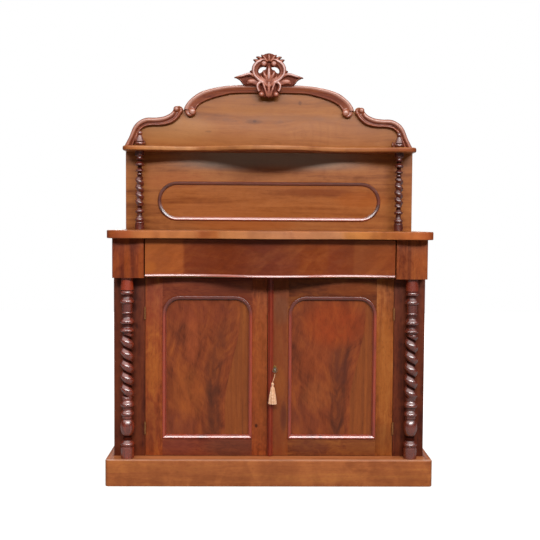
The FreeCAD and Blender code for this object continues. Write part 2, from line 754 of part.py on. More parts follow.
def screw_places(side, hinge, leaf):
    """Where a leaf's two screws stand, and the way they point into the wood."""
    wood = "stile_x" if leaf == "fixed" else "door_outer_x"
    x = wood if side > 0 else f"-{wood}"
    into = Vector(side if leaf == "fixed" else -side, 0, 0)
    return [
        (x, "face_y + leaf_width / 2", f"{hinge} + {share} * hinge_height", into)
        for share in (-0.3, 0.3)
    ]


def hinge_screw_holes(side, leaf):
    """Pilot holes for the screws of both hinges on one side."""
    return [
        rod(f"pilot_{leaf}_{side}_{hinge}_{n}", "screw_radius + screw_clearance",
            "screw_length + screw_clearance", x, y, z, into)
        for hinge in HINGES
        for n, (x, y, z, into) in enumerate(screw_places(side, hinge, leaf))
    ]


def hinge_leaf(side, hinge, leaf):
    """One leaf with its knuckles; the fixed leaf has the odd knuckles."""
    label = f"leaf_{leaf}_{side}_{hinge}"
    fixed = leaf == "fixed"
    across = ("stile_x - leaf_thickness", "stile_x")
    if not fixed:
        across = ("door_outer_x", "door_outer_x + leaf_thickness")
    low = f"({hinge} - hinge_height / 2)"
    plate = board(f"{label}_plate", reflected(across, side),
                  ("face_y", "face_y + leaf_width"), (low, f"{low} + hinge_height"))
    parts = [plate]
    pin_x = "pin_x" if side > 0 else "-pin_x"
    step = "hinge_height / knuckles"
    for n in range(0 if fixed else 1, int(size("knuckles")), 2):
        foot = f"{low} + {n} * {step} + clearance / 2"
        tall = f"{step} - clearance"
        parts.append(rod(f"{label}_knuckle_{n}", "knuckle_radius", tall, pin_x, "pin_y", foot))
        parts.append(board(f"{label}_tab_{n}", reflected(across, side),
                           ("pin_y + pin_radius + pin_clearance", "face_y + leaf_thickness"),
                           (foot, f"{foot} + {tall}")))
    bore = rod(f"{label}_bore", "pin_radius + pin_clearance", "hinge_height", pin_x, "pin_y", low)
    tools = [bore]
    for n, (x, y, z, into) in enumerate(screw_places(side, hinge, leaf)):
        tools.append(rod(f"{label}_hole_{n}", "screw_head_radius + screw_clearance",
                         "2 * leaf_thickness", x, y, z, into * -1))
    return cut(label, joined(f"{label}_blank", parts), tools)


def hinge_screw(label, x, y, z, into):
    """A screw whose flat head lies in its leaf and whose shank is in the wood."""
    head = rod(f"{label}_head", "screw_head_radius", "leaf_thickness", x, y, z, into * -1)
    shank = rod(f"{label}_shank", "screw_radius", "screw_length", x, y, z, into)
    return joined(label, [head, shank])


def hinge_leaves(label, leaf, sides):
    """The leaves and screws that one body carries."""
    parts = []
    for side in sides:
        for hinge in HINGES:
            parts.append(hinge_leaf(side, hinge, leaf))
            for n, spot in enumerate(screw_places(side, hinge, leaf)):
                parts.append(hinge_screw(f"screw_{leaf}_{side}_{hinge}_{n}", *spot))
    return group(label, parts)


def make_hinge_pins():
    pins = [
        rod(f"pin_{side}_{hinge}", "pin_radius", "hinge_height", f"{side} * pin_x", "pin_y",
            f"{hinge} - hinge_height / 2")
        for side in (-1, 1) for hinge in HINGES
    ]
    return group("hinge_pins", pins)


# ---------------------------------------------------------------------- doors


def arched_outline(low_x, high_x, low_z, high_z, radius):
    """A rectangle whose two top corners are round."""
    turn = radius * math.sqrt(0.5)
    shoulder = high_z - radius
    corners = []
    for side, edge in ((-1, low_x), (1, high_x)):
        centre = edge - side * radius
        corners.append(Part.Arc(Vector(edge, shoulder, 0),
                                Vector(centre + side * turn, shoulder + turn, 0),
                                Vector(centre, high_z, 0)))
    return corners + [
        line(Vector(low_x, low_z, 0), Vector(high_x, low_z, 0)),
        line(Vector(low_x, low_z, 0), Vector(low_x, shoulder, 0)),
        line(Vector(high_x, low_z, 0), Vector(high_x, shoulder, 0)),
        line(Vector(low_x + radius, high_z, 0), Vector(high_x - radius, high_z, 0)),
    ]


def panel_span(side):
    """Left and right edges of a door's panel opening."""
    if side < 0:
        return -size("panel_outer_x"), size("left_panel_x")
    return size("right_panel_x"), size("panel_outer_x")


def opening_outline(side, inset=0.0):
    """The arched opening of a door frame, or the same line inset evenly."""
    low, high = panel_span(side)
    return arched_outline(low + inset, high - inset, size("panel_low_z") + inset,
                          size("panel_high_z") - inset, size("arch_radius") - inset)


def front_pad(label, outlines, thickness, back):
    """Outlines seen from the front, padded forward from the place of their back."""
    return place(padded(label, "XZ_Plane", outlines, thickness), y=back)


def make_door_frame(name, side, meeting, panel_edge):
    """Two stiles, and two rails between them, the top one cut to the panel's arch."""
    outer = reflected(("panel_outer_x", "door_outer_x"), side)
    inner = (panel_edge, meeting) if side < 0 else (meeting, panel_edge)
    across = ("-panel_outer_x", panel_edge) if side < 0 else (panel_edge, "panel_outer_x")
    thick = ("face_y", "door_back_y")
    full = ("door_low_z", "door_high_z")
    hinge_stile = cut(f"{name}_hinge_stile", board(f"{name}_hinge_stile_blank", outer, thick, full),
                      hinge_screw_holes(side, "door"))
    meeting_blank = board(f"{name}_meeting_stile_blank", inner, thick, full)
    if side < 0:
        tools = [board("strike_mortise", (f"{meeting} - lock_throw - 2 * clearance", meeting),
                       ("lock_bolt_y - lock_bolt_thickness / 2 - clearance",
                        "lock_bolt_y + lock_bolt_thickness / 2 + clearance"),
                       ("key_height - lock_bolt_height / 2 - clearance",
                        "key_height + lock_bolt_height / 2 + clearance"))]
    else:
        tools = [
            board("lock_pocket", (meeting, f"{meeting} + lock_width"), ("lock_y", "door_back_y"),
                  ("key_height - lock_height / 2", "key_height + lock_height / 2")),
            rod("keyhole", "keyhole_radius", "door_thickness", "key_offset", "face_y",
                "key_height", Vector(0, 1, 0)),
        ]
    meeting_stile = cut(f"{name}_meeting_stile", meeting_blank, tools)
    top_blank = board(f"{name}_top_rail_blank", across, thick,
                      ("panel_high_z - 0.9 * arch_radius", "door_high_z"))
    hollow = front_pad(f"{name}_top_rail_hollow", [opening_outline(side)], "door_thickness",
                       "door_back_y")
    top_rail = cut(f"{name}_top_rail", top_blank, [hollow])
    bottom_rail = board(f"{name}_bottom_rail", across, thick, ("door_low_z", "panel_low_z"))
    return [group(f"{name}_door_stiles", [hinge_stile, meeting_stile]),
            group(f"{name}_door_rails", [top_rail, bottom_rail])]


def make_door(name, side, meeting, panel_edge):
    """A framed door with a sunk panel and a bead that stands proud of the frame."""
    frame = make_door_frame(name, side, meeting, panel_edge)
    panel = front_pad(f"{name}_panel", [opening_outline(side)], "door_panel_thickness",
                      "panel_y + door_panel_thickness")
    band = opening_outline(side) + opening_outline(side, size("door_bead_width"))
    bead = front_pad(f"{name}_moulding", [band], "door_panel_sink + door_bead_proud", "panel_y")
    front = size("door_panel_sink") + size("door_bead_proud")
    rounded_body(bead, "door_bead_rounding", lambda edge: (
        edge.BoundBox.YLength < 1e-6 and abs(edge.BoundBox.YMin + front) < 1e-6))
    leaves = hinge_leaves(f"{name}_hinge_leaves", "door", [side])
    return frame + [panel, bead, leaves]


def make_astragal():
    blank = board("astragal_blank", ("right_edge_x", "right_edge_x + astragal_width"),
                  ("face_y - astragal_proud", "face_y"), ("door_low_z", "door_high_z"))
    front = size("face_y") - size("astragal_proud")
    return rounded("astragal", blank, "astragal_rounding", lambda edge: (
        edge.BoundBox.ZLength > 1 and edge.BoundBox.YMax < front + 1e-6))


def make_lock():
    """A lock case let into the stile, its bolt, and a round-ended escutcheon."""
    case = board("lock_case_blank", ("right_edge_x", "right_edge_x + lock_width"),
                 ("lock_y", "door_back_y"),
                 ("key_height - lock_height / 2", "key_height + lock_height / 2"))
    half = "lock_bolt_thickness / 2"
    channel = board("lock_channel",
                    ("right_edge_x", "right_edge_x + lock_bolt_length + 2 * clearance"),
                    (f"lock_bolt_y - {half} - clearance", f"lock_bolt_y + {half} + clearance"),
                    ("key_height - lock_bolt_height / 2 - clearance",
                     "key_height + lock_bolt_height / 2 + clearance"))
    chamber = rod("key_chamber", "key_radius + bit_length + 2 * clearance",
                  f"lock_bolt_y - lock_y - {half} - clearance", "key_offset", "lock_y",
                  "key_height", Vector(0, 1, 0))
    bolt = board("lock_bolt",
                 ("right_edge_x + clearance", "right_edge_x + clearance + lock_bolt_length"),
                 (f"lock_bolt_y - {half}", f"lock_bolt_y + {half}"),
                 ("key_height - lock_bolt_height / 2", "key_height + lock_bolt_height / 2"))
    return [cut("lock_case", case, [channel, chamber]), bolt, make_escutcheon()]


def make_escutcheon():
    half = size("escutcheon_half_width")
    x = size("key_offset")
    z = size("key_height")
    rise = size("escutcheon_height") / 2 - half
    outline = [
        line(Vector(x - half, z - rise, 0), Vector(x - half, z + rise, 0)),
        line(Vector(x + half, z - rise, 0), Vector(x + half, z + rise, 0)),
        Part.Arc(Vector(x - half, z + rise, 0), Vector(x, z + rise + half, 0),
                 Vector(x + half, z + rise, 0)),
        Part.Arc(Vector(x - half, z - rise, 0), Vector(x, z - rise - half, 0),
                 Vector(x + half, z - rise, 0)),
        Part.Circle(Vector(x, z, 0), Vector(0, 0, 1), size("keyhole_radius")),
    ]
    return front_pad("escutcheon", [outline], "escutcheon_proud", "face_y")


def make_key():
    """A key with a ring bow that stands upright, seen edge on from the front."""
    inside = "lock_bolt_y - lock_bolt_thickness / 2 - 2 * clearance"
    shank = rod("key_shank", "key_radius", f"{inside} - bow_y - bow_radius", "key_offset",
                "bow_y + bow_radius", "key_height", Vector(0, 1, 0))
    bit = board("key_bit", ("key_offset - key_radius / 2", "key_offset + key_radius / 2"),
                (f"{inside} - bit_width", inside),
                ("key_height - key_radius - bit_length", "key_height"))
    bow = named(doc.addObject("Part::Torus", "key_bow"), "key_bow")
    bow.setExpression("Radius1", linked("bow_radius"))
    bow.setExpression("Radius2", linked("bow_section"))
    bow.Placement.Rotation = FreeCAD.Rotation(Vector(0, 0, 1), Vector(1, 0, 0))
    place(bow, "key_offset", "bow_y", "key_height")
    return joined("key", [shank, bit, bow])


def tassel_cord_path():
    """The two ends of the cord, which the tassel pulls straight."""
    start = Vector(size("key_offset"), size("bow_y"), size("cord_high_z"))
    end = Vector(size("tassel_x"), size("bow_y"), size("cord_low_z"))
    return start, end


def make_tassel():
    """A loop round the bow, a straight cord, a ball with its neck and a flared fringe."""
    start, end = tassel_cord_path()
    fall = end - start
    loop = named(doc.addObject("Part::Torus", "tassel_loop"), "tassel_loop")
    loop.setExpression("Radius1", linked("loop_radius"))
    loop.setExpression("Radius2", linked("cord_diameter / 2"))
    loop.Placement.Rotation = FreeCAD.Rotation(Vector(0, 0, 1), Vector(0, 1, 0))
    place(loop, "key_offset", "bow_y", "loop_z")
    tube = rod("tassel_cord_tube", "cord_diameter / 2", str(fall.Length), "key_offset", "bow_y",
               "cord_high_z", fall)
    cord = joined("tassel_cord", [loop, tube])
    print("tassel cord: one straight run of", round(fall.Length, 1), "mm, no bend")
    ball = tassel_turning("tassel_head", [
        ("cord_low_z - clearance", "cord_diameter / 2"),
        ("cord_low_z - tassel_ball_radius - 1", "tassel_ball_radius"),
        ("cord_low_z - 2 * tassel_ball_radius", "tassel_neck_radius"),
        ("cord_low_z - 2 * tassel_ball_radius - tassel_neck_height", "tassel_neck_radius"),
    ])
    skirt = tassel_turning("tassel_skirt", [
        ("cord_low_z - 2 * tassel_ball_radius - tassel_neck_height", "tassel_shoulder_radius"),
        ("cord_low_z - 2 * tassel_ball_radius - tassel_neck_height - tassel_skirt_height",
         "tassel_skirt_radius"),
    ])
    return [cord, ball, skirt]


def tassel_turning(label, rings):
    """A stack of cones on the tassel's axis, between rings of given height and radius."""
    cones = []
    for n, ((high, top_radius), (low, low_radius)) in enumerate(zip(rings, rings[1:])):
        cone = doc.addObject("Part::Cone", f"{label}_cone_{n}")
        cone.setExpression("Radius1", linked(low_radius))
        cone.setExpression("Radius2", linked(top_radius))
        cone.setExpression("Height", linked(f"({high}) - ({low})"))
        cones.append(place(cone, "tassel_x", "bow_y", low))
    return named(cones[0], label) if len(cones) == 1 else joined(label, cones)


def make_barrel_bolts():
    """Two barrel bolts behind the left door's meeting stile, and their plates."""
    bolts = []
    plates = []
    for name, up, end in (("upper", 1, "door_high_z"), ("lower", -1, "door_low_z")):
        tip = f"{end} - {up} * bolt_end_gap"
        foot = tip if up < 0 else f"{tip} - bolt_length"
        bolts.append(rod(f"{name}_bolt", "bolt_radius", "bolt_length", "bolt_x", "bolt_y", foot))
        middle = f"({foot} + bolt_length / 2)"
        half = "bolt_plate_width / 2"
        plate = board(f"{name}_plate", (f"bolt_x - {half}", f"bolt_x + {half}"),
                      ("door_back_y", "door_back_y + bolt_plate_thickness"),
                      (f"{middle} - 0.4 * bolt_length", f"{middle} + 0.4 * bolt_length"))
        parts = [plate]
        for n, share in enumerate((-0.3, 0.3)):
            low = f"{middle} + {share} * bolt_length - staple_height / 2"
            parts.append(board(f"{name}_staple_{n}", (f"bolt_x - {half}", f"bolt_x + {half}"),
                               ("door_back_y", "bolt_y + bolt_radius + 2"),
                               (low, f"{low} + staple_height")))
        bore = rod(f"{name}_plate_bore", "bolt_radius + clearance", "bolt_length", "bolt_x",
                   "bolt_y", foot)
        plates.append(cut(f"{name}_bolt_plate", joined(f"{name}_plate_blank", parts), [bore]))
    return bolts + [group("left_bolt_plates", plates)]


# --------------------------------------------------------------------- drawer


def drawer_stations(setback):
    """The drawer's front line follows the top board's, further back."""
    bow = size("front_y") + setback
    return [
        Vector(0, bow, 0),
        Vector(size("hollow_offset"), bow + size("top_hollow_setback"), 0),
        Vector(size("lobe_offset"), bow + size("top_lobe_setback"), 0),
    ]


def drawer_blank(label, setback, low, high, back):
    """A serpentine solid behind the drawer's front line, trimmed to the drawer's width."""
    stations = drawer_stations(setback)
    reach = stations[-1].x
    outline = serpentine(stations) + [
        line(Vector(-reach, stations[-1].y, 0), Vector(-reach, back, 0)),
        line(Vector(-reach, back, 0), Vector(reach, back, 0)),
        line(Vector(reach, stations[-1].y, 0), Vector(reach, back, 0)),
    ]
    pad = place(padded(f"{label}_blank", "XY_Plane", [outline], f"{high} - ({low})"), z=low)
    trim = board(f"{label}_trim", ("-drawer_half_width", "drawer_half_width"),
                 ("front_y", "face_y"), (low, high))
    result = doc.addObject("Part::Common", label)
    result.Base = pad
    result.Tool = trim
    return result


def make_drawer_front():
    """The veneered front, over the lip bead."""
    back = size("face_y") - size("drawer_front_gap")
    front = drawer_blank("drawer_front", size("drawer_setback"), "drawer_z + lip_height",
                         "top_z - drawer_top_gap", back)
    lip = drawer_blank("drawer_lip_blank", size("drawer_setback") - size("lip_projection"),
                       "drawer_z", "drawer_z + lip_height", back)
    level = rounded("drawer_lip", lip, "lip_rounding", lambda edge: (
        edge.BoundBox.ZLength < 1e-6 and edge.BoundBox.YMax < back - 1e-6
        and edge.BoundBox.XLength > 1))
    return [named(front, "drawer_front"), level]


def make_drawer_box():
    back = "face_y - drawer_front_gap"
    sides = [
        board(f"drawer_side_{side}", reflected(("drawer_box_x", "drawer_side_x"), side),
              (back, "drawer_back_y"), ("drawer_side_z", "drawer_side_top_z"))
        for side in (-1, 1)
    ]
    inside = ("-drawer_box_x", "drawer_box_x")
    bottom = board("drawer_bottom", inside, (back, "drawer_back_y"),
                   ("drawer_floor_z", "drawer_floor_z + drawer_bottom_thickness"))
    rear = board("drawer_back", inside, ("drawer_back_y - drawer_back_thickness", "drawer_back_y"),
                 ("drawer_floor_z + drawer_bottom_thickness",
                  "drawer_side_top_z - drawer_back_drop"))
    return [group("drawer_sides", sides), bottom, rear]


# ------------------------------------------------------------- raised back


def stadium(half_width, low, high):
    """A long oval with half-round ends."""
    radius = (high - low) / 2
    middle = (high + low) / 2
    reach = half_width - radius
    ends = [
        Part.Arc(Vector(side * reach, low, 0), Vector(side * half_width, middle, 0),
                 Vector(side * reach, high, 0))
        for side in (-1, 1)
    ]
    return ends + [
        line(Vector(-reach, low, 0), Vector(reach, low, 0)),
        line(Vector(-reach, high, 0), Vector(reach, high, 0)),
    ]


def make_upper_back():
    panel = board("upper_back", ("-upper_back_half_width", "upper_back_half_width"),
                  ("upper_back_y", "back_y"), ("worktop_height", "shelf_z"))
    low = size("worktop_height") + size("oval_rise")
    high = low + size("oval_height")
    width = size("oval_bead_width")
    half = size("oval_half_width")
    band = stadium(half, low, high) + stadium(half - width, low + width, high - width)
    bead = front_pad("panel_moulding", [band], "oval_bead_proud", "upper_back_y")
    front = size("oval_bead_proud")
    rounded_body(bead, "oval_bead_rounding", lambda edge: (
        edge.BoundBox.YLength < 1e-6 and abs(edge.BoundBox.YMin + front) < 1e-6))
    return [panel, bead]


def make_columns():
    parts = []
    for name, side in (("left", -1), ("right", 1)):
        parts.append(twist_column(f"column_{name}", "column_base", "column_head", "column_twist",
                                  f"{name}_twist_turn", f"{side} * column_offset",
                                  "column_y", "plinth_height", "frieze_z"))
        parts.append(twist_column(f"small_column_{name}", "small_base", "small_head",
                                  "small_twist", f"small_{name}_twist_turn",
                                  f"{side} * small_column_offset", "small_column_y",
                                  "worktop_height", "shelf_z"))
        finial, _ = turned(f"finial_{name}", "finial", f"{side} * finial_offset",
                           "small_column_y", "shelf_top_z")
        parts.append(finial)
    return parts


# ------------------------------------------------------------------- pediment

# Half of each line on the left, as shares of the pediment's half width and rise.
ARCH_OUTER = [(0, 1), (0.173, 0.989), (0.277, 0.97), (0.359, 0.943), (0.441, 0.9), (0.497, 0.847),
              (0.552, 0.75), (0.581, 0.665), (0.59, 0.61)]
ARCH_INNER = [(0, 0.881), (0.23, 0.875), (0.319, 0.839), (0.408, 0.78), (0.468, 0.716),
              (0.495, 0.661), (0.512, 0.593)]
ARCH_EYE = (0.546, 0.581)
SCROLL_OUTER = [(0.594, 0.602), (0.605, 0.648), (0.627, 0.669), (0.647, 0.648), (0.658, 0.593),
                (0.667, 0.555), (0.692, 0.513), (0.723, 0.487), (0.778, 0.472), (0.832, 0.472),
                (0.871, 0.453), (0.907, 0.407), (0.929, 0.356), (0.942, 0.297), (0.962, 0.169),
                (0.976, 0.097), (0.989, 0.047), (1, 0)]
SCROLL_INNER = [(0.596, 0.593), (0.61, 0.53), (0.636, 0.445), (0.665, 0.394), (0.741, 0.352),
                (0.803, 0.347), (0.856, 0.322), (0.887, 0.271), (0.92, 0.144), (0.945, 0)]
CURL = [(0.89, 0.288), (0.914, 0.206), (0.905, 0.113), (0.875, 0.076)]
CURL_WIDTHS = (0.03643, 0.02732, 0.02368, 0.02186)


def at_pediment(point, side):
    """A point of the pediment from its shares."""
    across, up = point
    return Vector(side * across * size("pediment_half_width") - size("pediment_offset"),
                  size("shelf_top_z") + up * size("pediment_rise"), 0)


def ribbon(points, shares, unit):
    """A band along a smooth line, as wide at each point as its share of the unit."""
    curve = spline(points)
    edges = ([], [])
    for point, share in zip(points, shares):
        direction = curve.tangent(curve.parameter(point))[0]
        normal = Vector(-direction.y, direction.x, 0) * (share * unit / 2)
        edges[0].append(point + normal)
        edges[1].append(point - normal)
    return [spline(edges[0]), line(edges[0][-1], edges[1][-1]),
            spline(edges[1]), line(edges[1][0], edges[0][0])]


def make_pediment_panel():
    """The board behind the rails, cut to their outer line."""
    outline = []
    for side in (-1, 1):
        arch = [at_pediment(point, side) for point in ARCH_OUTER]
        scroll = [at_pediment(point, side) for point in SCROLL_OUTER]
        outline += [spline(arch), line(arch[-1], scroll[0]), spline(scroll)]
    outline.append(line(at_pediment(SCROLL_OUTER[-1], -1), at_pediment(SCROLL_OUTER[-1], 1)))
    return front_pad("pediment_panel", [outline], "pediment_panel_thickness", "back_y")


def make_arch_rail():
    """One rail over the arch, which ends in a round eye on each side."""
    outer = [at_pediment(point, -1) for point in reversed(ARCH_OUTER)]
    outer += [at_pediment(point, 1) for point in ARCH_OUTER[1:]]
    inner = [at_pediment(point, -1) for point in reversed(ARCH_INNER)]
    inner += [at_pediment(point, 1) for point in ARCH_INNER[1:]]
    band = [spline(outer), line(outer[-1], inner[-1]), spline(inner), line(inner[0], outer[0])]
    eyes = [
        [Part.Circle(at_pediment(ARCH_EYE, side), Vector(0, 0, 1), size("arch_volute_radius"))]
        for side in (-1, 1)
    ]
    return front_pad("arch_rail", [band] + eyes, "pediment_rail_proud", "rail_y")


def make_scroll(name, side):
    """An S-shaped rail from the arch's eye to the end of the shelf, with a curl at its foot."""
    outer = [at_pediment(point, side) for point in SCROLL_OUTER]
    inner = [at_pediment(point, side) for point in SCROLL_INNER]
    band = [spline(outer), line(outer[-1], inner[-1]), spline(inner), line(inner[0], outer[0])]
    curl_line = [at_pediment(point, side) for point in CURL]
    curl = ribbon(curl_line, CURL_WIDTHS, size("pediment_half_width"))
    eye = [Part.Circle(curl_line[-1], Vector(0, 0, 1), size("scroll_volute_radius"))]
    return front_pad(f"scroll_{name}", [band, curl, eye], "pediment_rail_proud", "rail_y")


# Half of the crest on the right: points as shares of its half width and rise, from the crown.
# The heart and the hanger are middle lines with widths, the others are outlines.
HEART = [(0.032, -0.101), (0.176, 0.084), (0.32, 0.235), (0.392, 0.403), (0.368, 0.613),
         (0.304, 0.756), (0.176, 0.807), (0.072, 0.79)]
HEART_WIDTHS = (0.096, 0.128, 0.16, 0.208, 0.192, 0.16, 0.12, 0.08)
HEART_EYE = (0.156, 0.664)
HANGER = [(0.144, 0.034), (0.272, -0.025), (0.28, -0.151), (0.224, -0.277)]
HANGER_WIDTHS = (0.144, 0.192, 0.16, 0.192)
CRESTING = [(0.032, 0.958), (0.16, 0.924), (0.224, 0.95), (0.248, 0.899), (0.368, 0.874),
            (0.384, 0.832), (0.456, 0.807), (0.496, 0.765), (0.464, 0.714), (0.464, 0.571),
            (0.504, 0.496), (0.552, 0.445), (0.544, 0.403), (0.464, 0.378), (0.4, 0.487),
            (0.32, 0.723), (0.16, 0.824), (0.032, 0.824)]
WING = [(0.44, 0.387), (0.6, 0.37), (0.68, 0.336), (0.76, 0.294), (0.84, 0.269), (1, 0.235),
        (0.968, 0.185), (0.864, 0.16), (0.784, 0.126), (0.744, 0.067), (0.744, 0.008),
        (0.696, -0.017), (0.48, 0), (0.32, 0.084), (0.36, 0.235)]
SPINE = [(0, 1), (0.04, 0.941), (0.064, 0.874), (0.072, 0.739), (0.064, 0.639), (0.112, 0.521),
         (0.184, 0.462), (0.184, 0.403), (0.272, 0.328), (0.32, 0.218), (0.224, 0.118),
         (0.112, 0.067), (0.088, -0.101), (0.096, -0.227), (0.056, -0.37), (0, -0.42)]


def at_crest(point, side):
    """A point of the crest from its shares."""
    across, up = point
    return Vector(side * across * size("crest_half_width") - size("crest_offset"),
                  size("crown_z") + up * size("crest_rise"), 0)


def make_crest():
    """A pierced crest: a spine, heart scrolls with leaves over them, wings and hanging scrolls."""
    right = [at_crest(point, 1) for point in SPINE]
    left = [at_crest(point, -1) for point in reversed(SPINE[1:-1])]
    outlines = [polygon(right + left)]
    for side in (-1, 1):
        for points, widths in ((HEART, HEART_WIDTHS), (HANGER, HANGER_WIDTHS)):
            middle_line = [at_crest(point, side) for point in points]
            outlines.append(ribbon(middle_line, widths, size("crest_half_width")))
        for points in (CRESTING, WING):
            outlines.append(polygon([at_crest(point, side) for point in points]))
        eye = at_crest(HEART_EYE, side)
        outlines.append([Part.Circle(eye, Vector(0, 0, 1), size("crest_eye_radius"))])
    return front_pad("crest", outlines, "crest_thickness", "crest_y")


# ---------------------------------------------------------------------- build


def make_all():
    """Every sub-part, in the order in which the piece goes together."""
    parts = make_plinth()
    parts += [make_bottom_board(), make_drawer_rail()]
    parts += make_ends()
    parts += [make_back_boards(), make_drawer_runners(), make_glue_blocks()]
    parts += make_inner_shelf()
    parts += [hinge_leaves("fixed_leaves", "fixed", (-1, 1)), make_hinge_pins()]
    parts += [make_top(), make_gallery_shelf()]
    parts += make_upper_back()
    parts += make_columns()
    parts += [make_pediment_panel(), make_arch_rail()]
    parts += [make_scroll("left", -1), make_scroll("right", 1), make_crest()]
    parts += make_door("left", -1, "left_edge_x", "left_panel_x")
    parts += make_door("right", 1, "right_edge_x", "right_panel_x")
    parts += make_barrel_bolts()
    parts += [make_astragal(), make_key()]
    parts += make_lock()
    parts += make_tassel()
    parts += make_drawer_front()
    parts += make_drawer_box()
    return parts


def check(parts):
    """Stop on any object that failed and on any sub-part without a sound shape."""
    failed = [item.Label for item in doc.Objects
              if "Invalid" in item.State or "Error" in item.State]
    if failed:
        raise RuntimeError(f"failed objects: {failed}")
    for part in parts:
        if part.Shape.isNull() or not part.Shape.isValid() or not part.Shape.Solids:
            raise RuntimeError(f"{part.Label} has no sound shape")


parts = make_all()
doc.recompute()
check(parts)
os.makedirs("parts", exist_ok=True)
for part in parts:
    part.Shape.exportStep(f"parts/{part.Label}.step")
print(len(parts), "sub-parts written")
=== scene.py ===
import bpy
import bmesh
import json
import math
import numpy as np
from functools import partialmethod
from mathutils import Matrix, Vector

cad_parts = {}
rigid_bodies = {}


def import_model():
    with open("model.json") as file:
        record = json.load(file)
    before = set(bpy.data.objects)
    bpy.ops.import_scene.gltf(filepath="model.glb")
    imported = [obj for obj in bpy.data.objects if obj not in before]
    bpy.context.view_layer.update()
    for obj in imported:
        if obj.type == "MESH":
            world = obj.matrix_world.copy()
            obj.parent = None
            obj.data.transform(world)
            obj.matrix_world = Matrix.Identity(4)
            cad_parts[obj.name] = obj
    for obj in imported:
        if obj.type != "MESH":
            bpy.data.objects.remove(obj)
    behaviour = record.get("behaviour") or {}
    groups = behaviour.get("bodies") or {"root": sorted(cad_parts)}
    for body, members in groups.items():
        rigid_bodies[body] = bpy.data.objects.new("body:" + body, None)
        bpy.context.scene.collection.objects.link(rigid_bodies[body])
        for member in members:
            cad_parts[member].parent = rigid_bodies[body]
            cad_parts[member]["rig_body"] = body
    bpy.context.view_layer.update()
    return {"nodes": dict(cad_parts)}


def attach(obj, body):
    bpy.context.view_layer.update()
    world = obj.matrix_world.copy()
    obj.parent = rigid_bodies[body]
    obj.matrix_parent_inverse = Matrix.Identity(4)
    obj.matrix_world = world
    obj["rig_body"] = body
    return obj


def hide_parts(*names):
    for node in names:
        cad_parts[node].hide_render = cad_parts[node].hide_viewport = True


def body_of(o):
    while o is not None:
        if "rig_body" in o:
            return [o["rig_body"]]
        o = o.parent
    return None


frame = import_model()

MM = 0.001
scene = bpy.context.scene

CAMERA_PLACE = (-0.0595, -3.3327, 0.9378)
CAMERA_TURN = (1.043, 3.064, 0.3723)       # yaw, pitch and roll in degrees
SENSOR, LENS = 36.0, 60.968
FILL, SKY = 0.05, 1.6                      # how bright the world is all round, and in front
SHEEN = 0.22                               # specular level of the polish
FULL_TURN = 2 * math.pi
SIDES = ((-1, "left"), (1, "right"))


def rows_of(text):
    """Rows of numbers from a text with commas between the rows."""
    return [[float(number) for number in row.split()] for row in text.split(",")]


# ---- camera, light

def place_object(name, data):
    """A new object in the scene."""
    made = bpy.data.objects.new(name, data)
    scene.collection.objects.link(made)
    return made


def make_camera():
    """The camera stands a little left of the middle, just above the top board."""
    data = bpy.data.cameras.new("camera")
    data.sensor_width = SENSOR
    data.lens = LENS
    yaw, pitch, roll = (math.radians(turn) for turn in CAMERA_TURN)
    turns = ((-yaw, "Z"), (math.pi / 2 - pitch, "X"), (roll, "Z"))
    first, second, third = (Matrix.Rotation(angle, 4, axis) for angle, axis in turns)
    camera = place_object("camera", data)
    camera.matrix_world = Matrix.Translation(CAMERA_PLACE) @ first @ second @ third
    scene.camera = camera


def make_lamp(name, place, aim, size, power):
    """A plain rectangular lamp."""
    data = bpy.data.lights.new(name, "AREA")
    data.shape = "RECTANGLE"
    data.size, data.size_y = size
    data.energy = power
    lamp = place_object(name, data)
    lamp.location = place
    lamp.rotation_euler = (Vector(aim) - Vector(place)).to_track_quat("-Z", "Y").to_euler()


class Wire:
    """What comes out of a node. Numbers take plain arithmetic."""

    def __init__(self, nodes, socket):
        self.nodes = nodes
        self.socket = socket

    def calc(self, operation, other=0.0):
        return self.nodes.make("ShaderNodeMath", {0: self, 1: other}, operation=operation)

    __add__ = partialmethod(calc, "ADD")
    __sub__ = partialmethod(calc, "SUBTRACT")
    __mul__ = partialmethod(calc, "MULTIPLY")
    __abs__ = partialmethod(calc, "ABSOLUTE")

    def between(self, low, high, first=0.0, last=1.0, kind="LINEAR"):
        """Runs from first to last while this one runs from low to high."""
        inputs = {0: self, 1: low, 2: high, 3: first, 4: last}
        return self.nodes.make("ShaderNodeMapRange", inputs, interpolation_type=kind)

    def ease(self, low, high, first=0.0, last=1.0):
        """The same, with a soft start and end."""
        return self.between(low, high, first, last, "SMOOTHSTEP")


def distance(across, up):
    return (across * across + up * up).calc("SQRT")


class Nodes:
    """The nodes of a material or of the world."""

    def __init__(self, owner):
        owner.use_nodes = True
        self.tree = owner.node_tree
        self.tree.nodes.clear()

    def add(self, kind, inputs, **settings):
        """A new node. Each input is a wire, or the socket's own number or colour."""
        node = self.tree.nodes.new(kind)
        for key, value in settings.items():
            setattr(node, key, value)
        for key, value in inputs.items():
            if isinstance(value, Wire):
                self.tree.links.new(value.socket, node.inputs[key])
            else:
                node.inputs[key].default_value = value
        return node

    def make(self, kind, inputs, output=0, **settings):
        """What comes out of a new node."""
        return Wire(self, self.add(kind, inputs, **settings).outputs[output])

    def split(self, wire):
        """The three coordinates of a place or a direction."""
        return [Wire(self, socket) for socket in self.add("ShaderNodeSeparateXYZ", {0: wire}).outputs]

    def join(self, x, y, z):
        return self.make("ShaderNodeCombineXYZ", {0: x, 1: y, 2: z})

    def ray_is(self, kind):
        return self.make("ShaderNodeLightPath", {}, f"Is {kind} Ray")


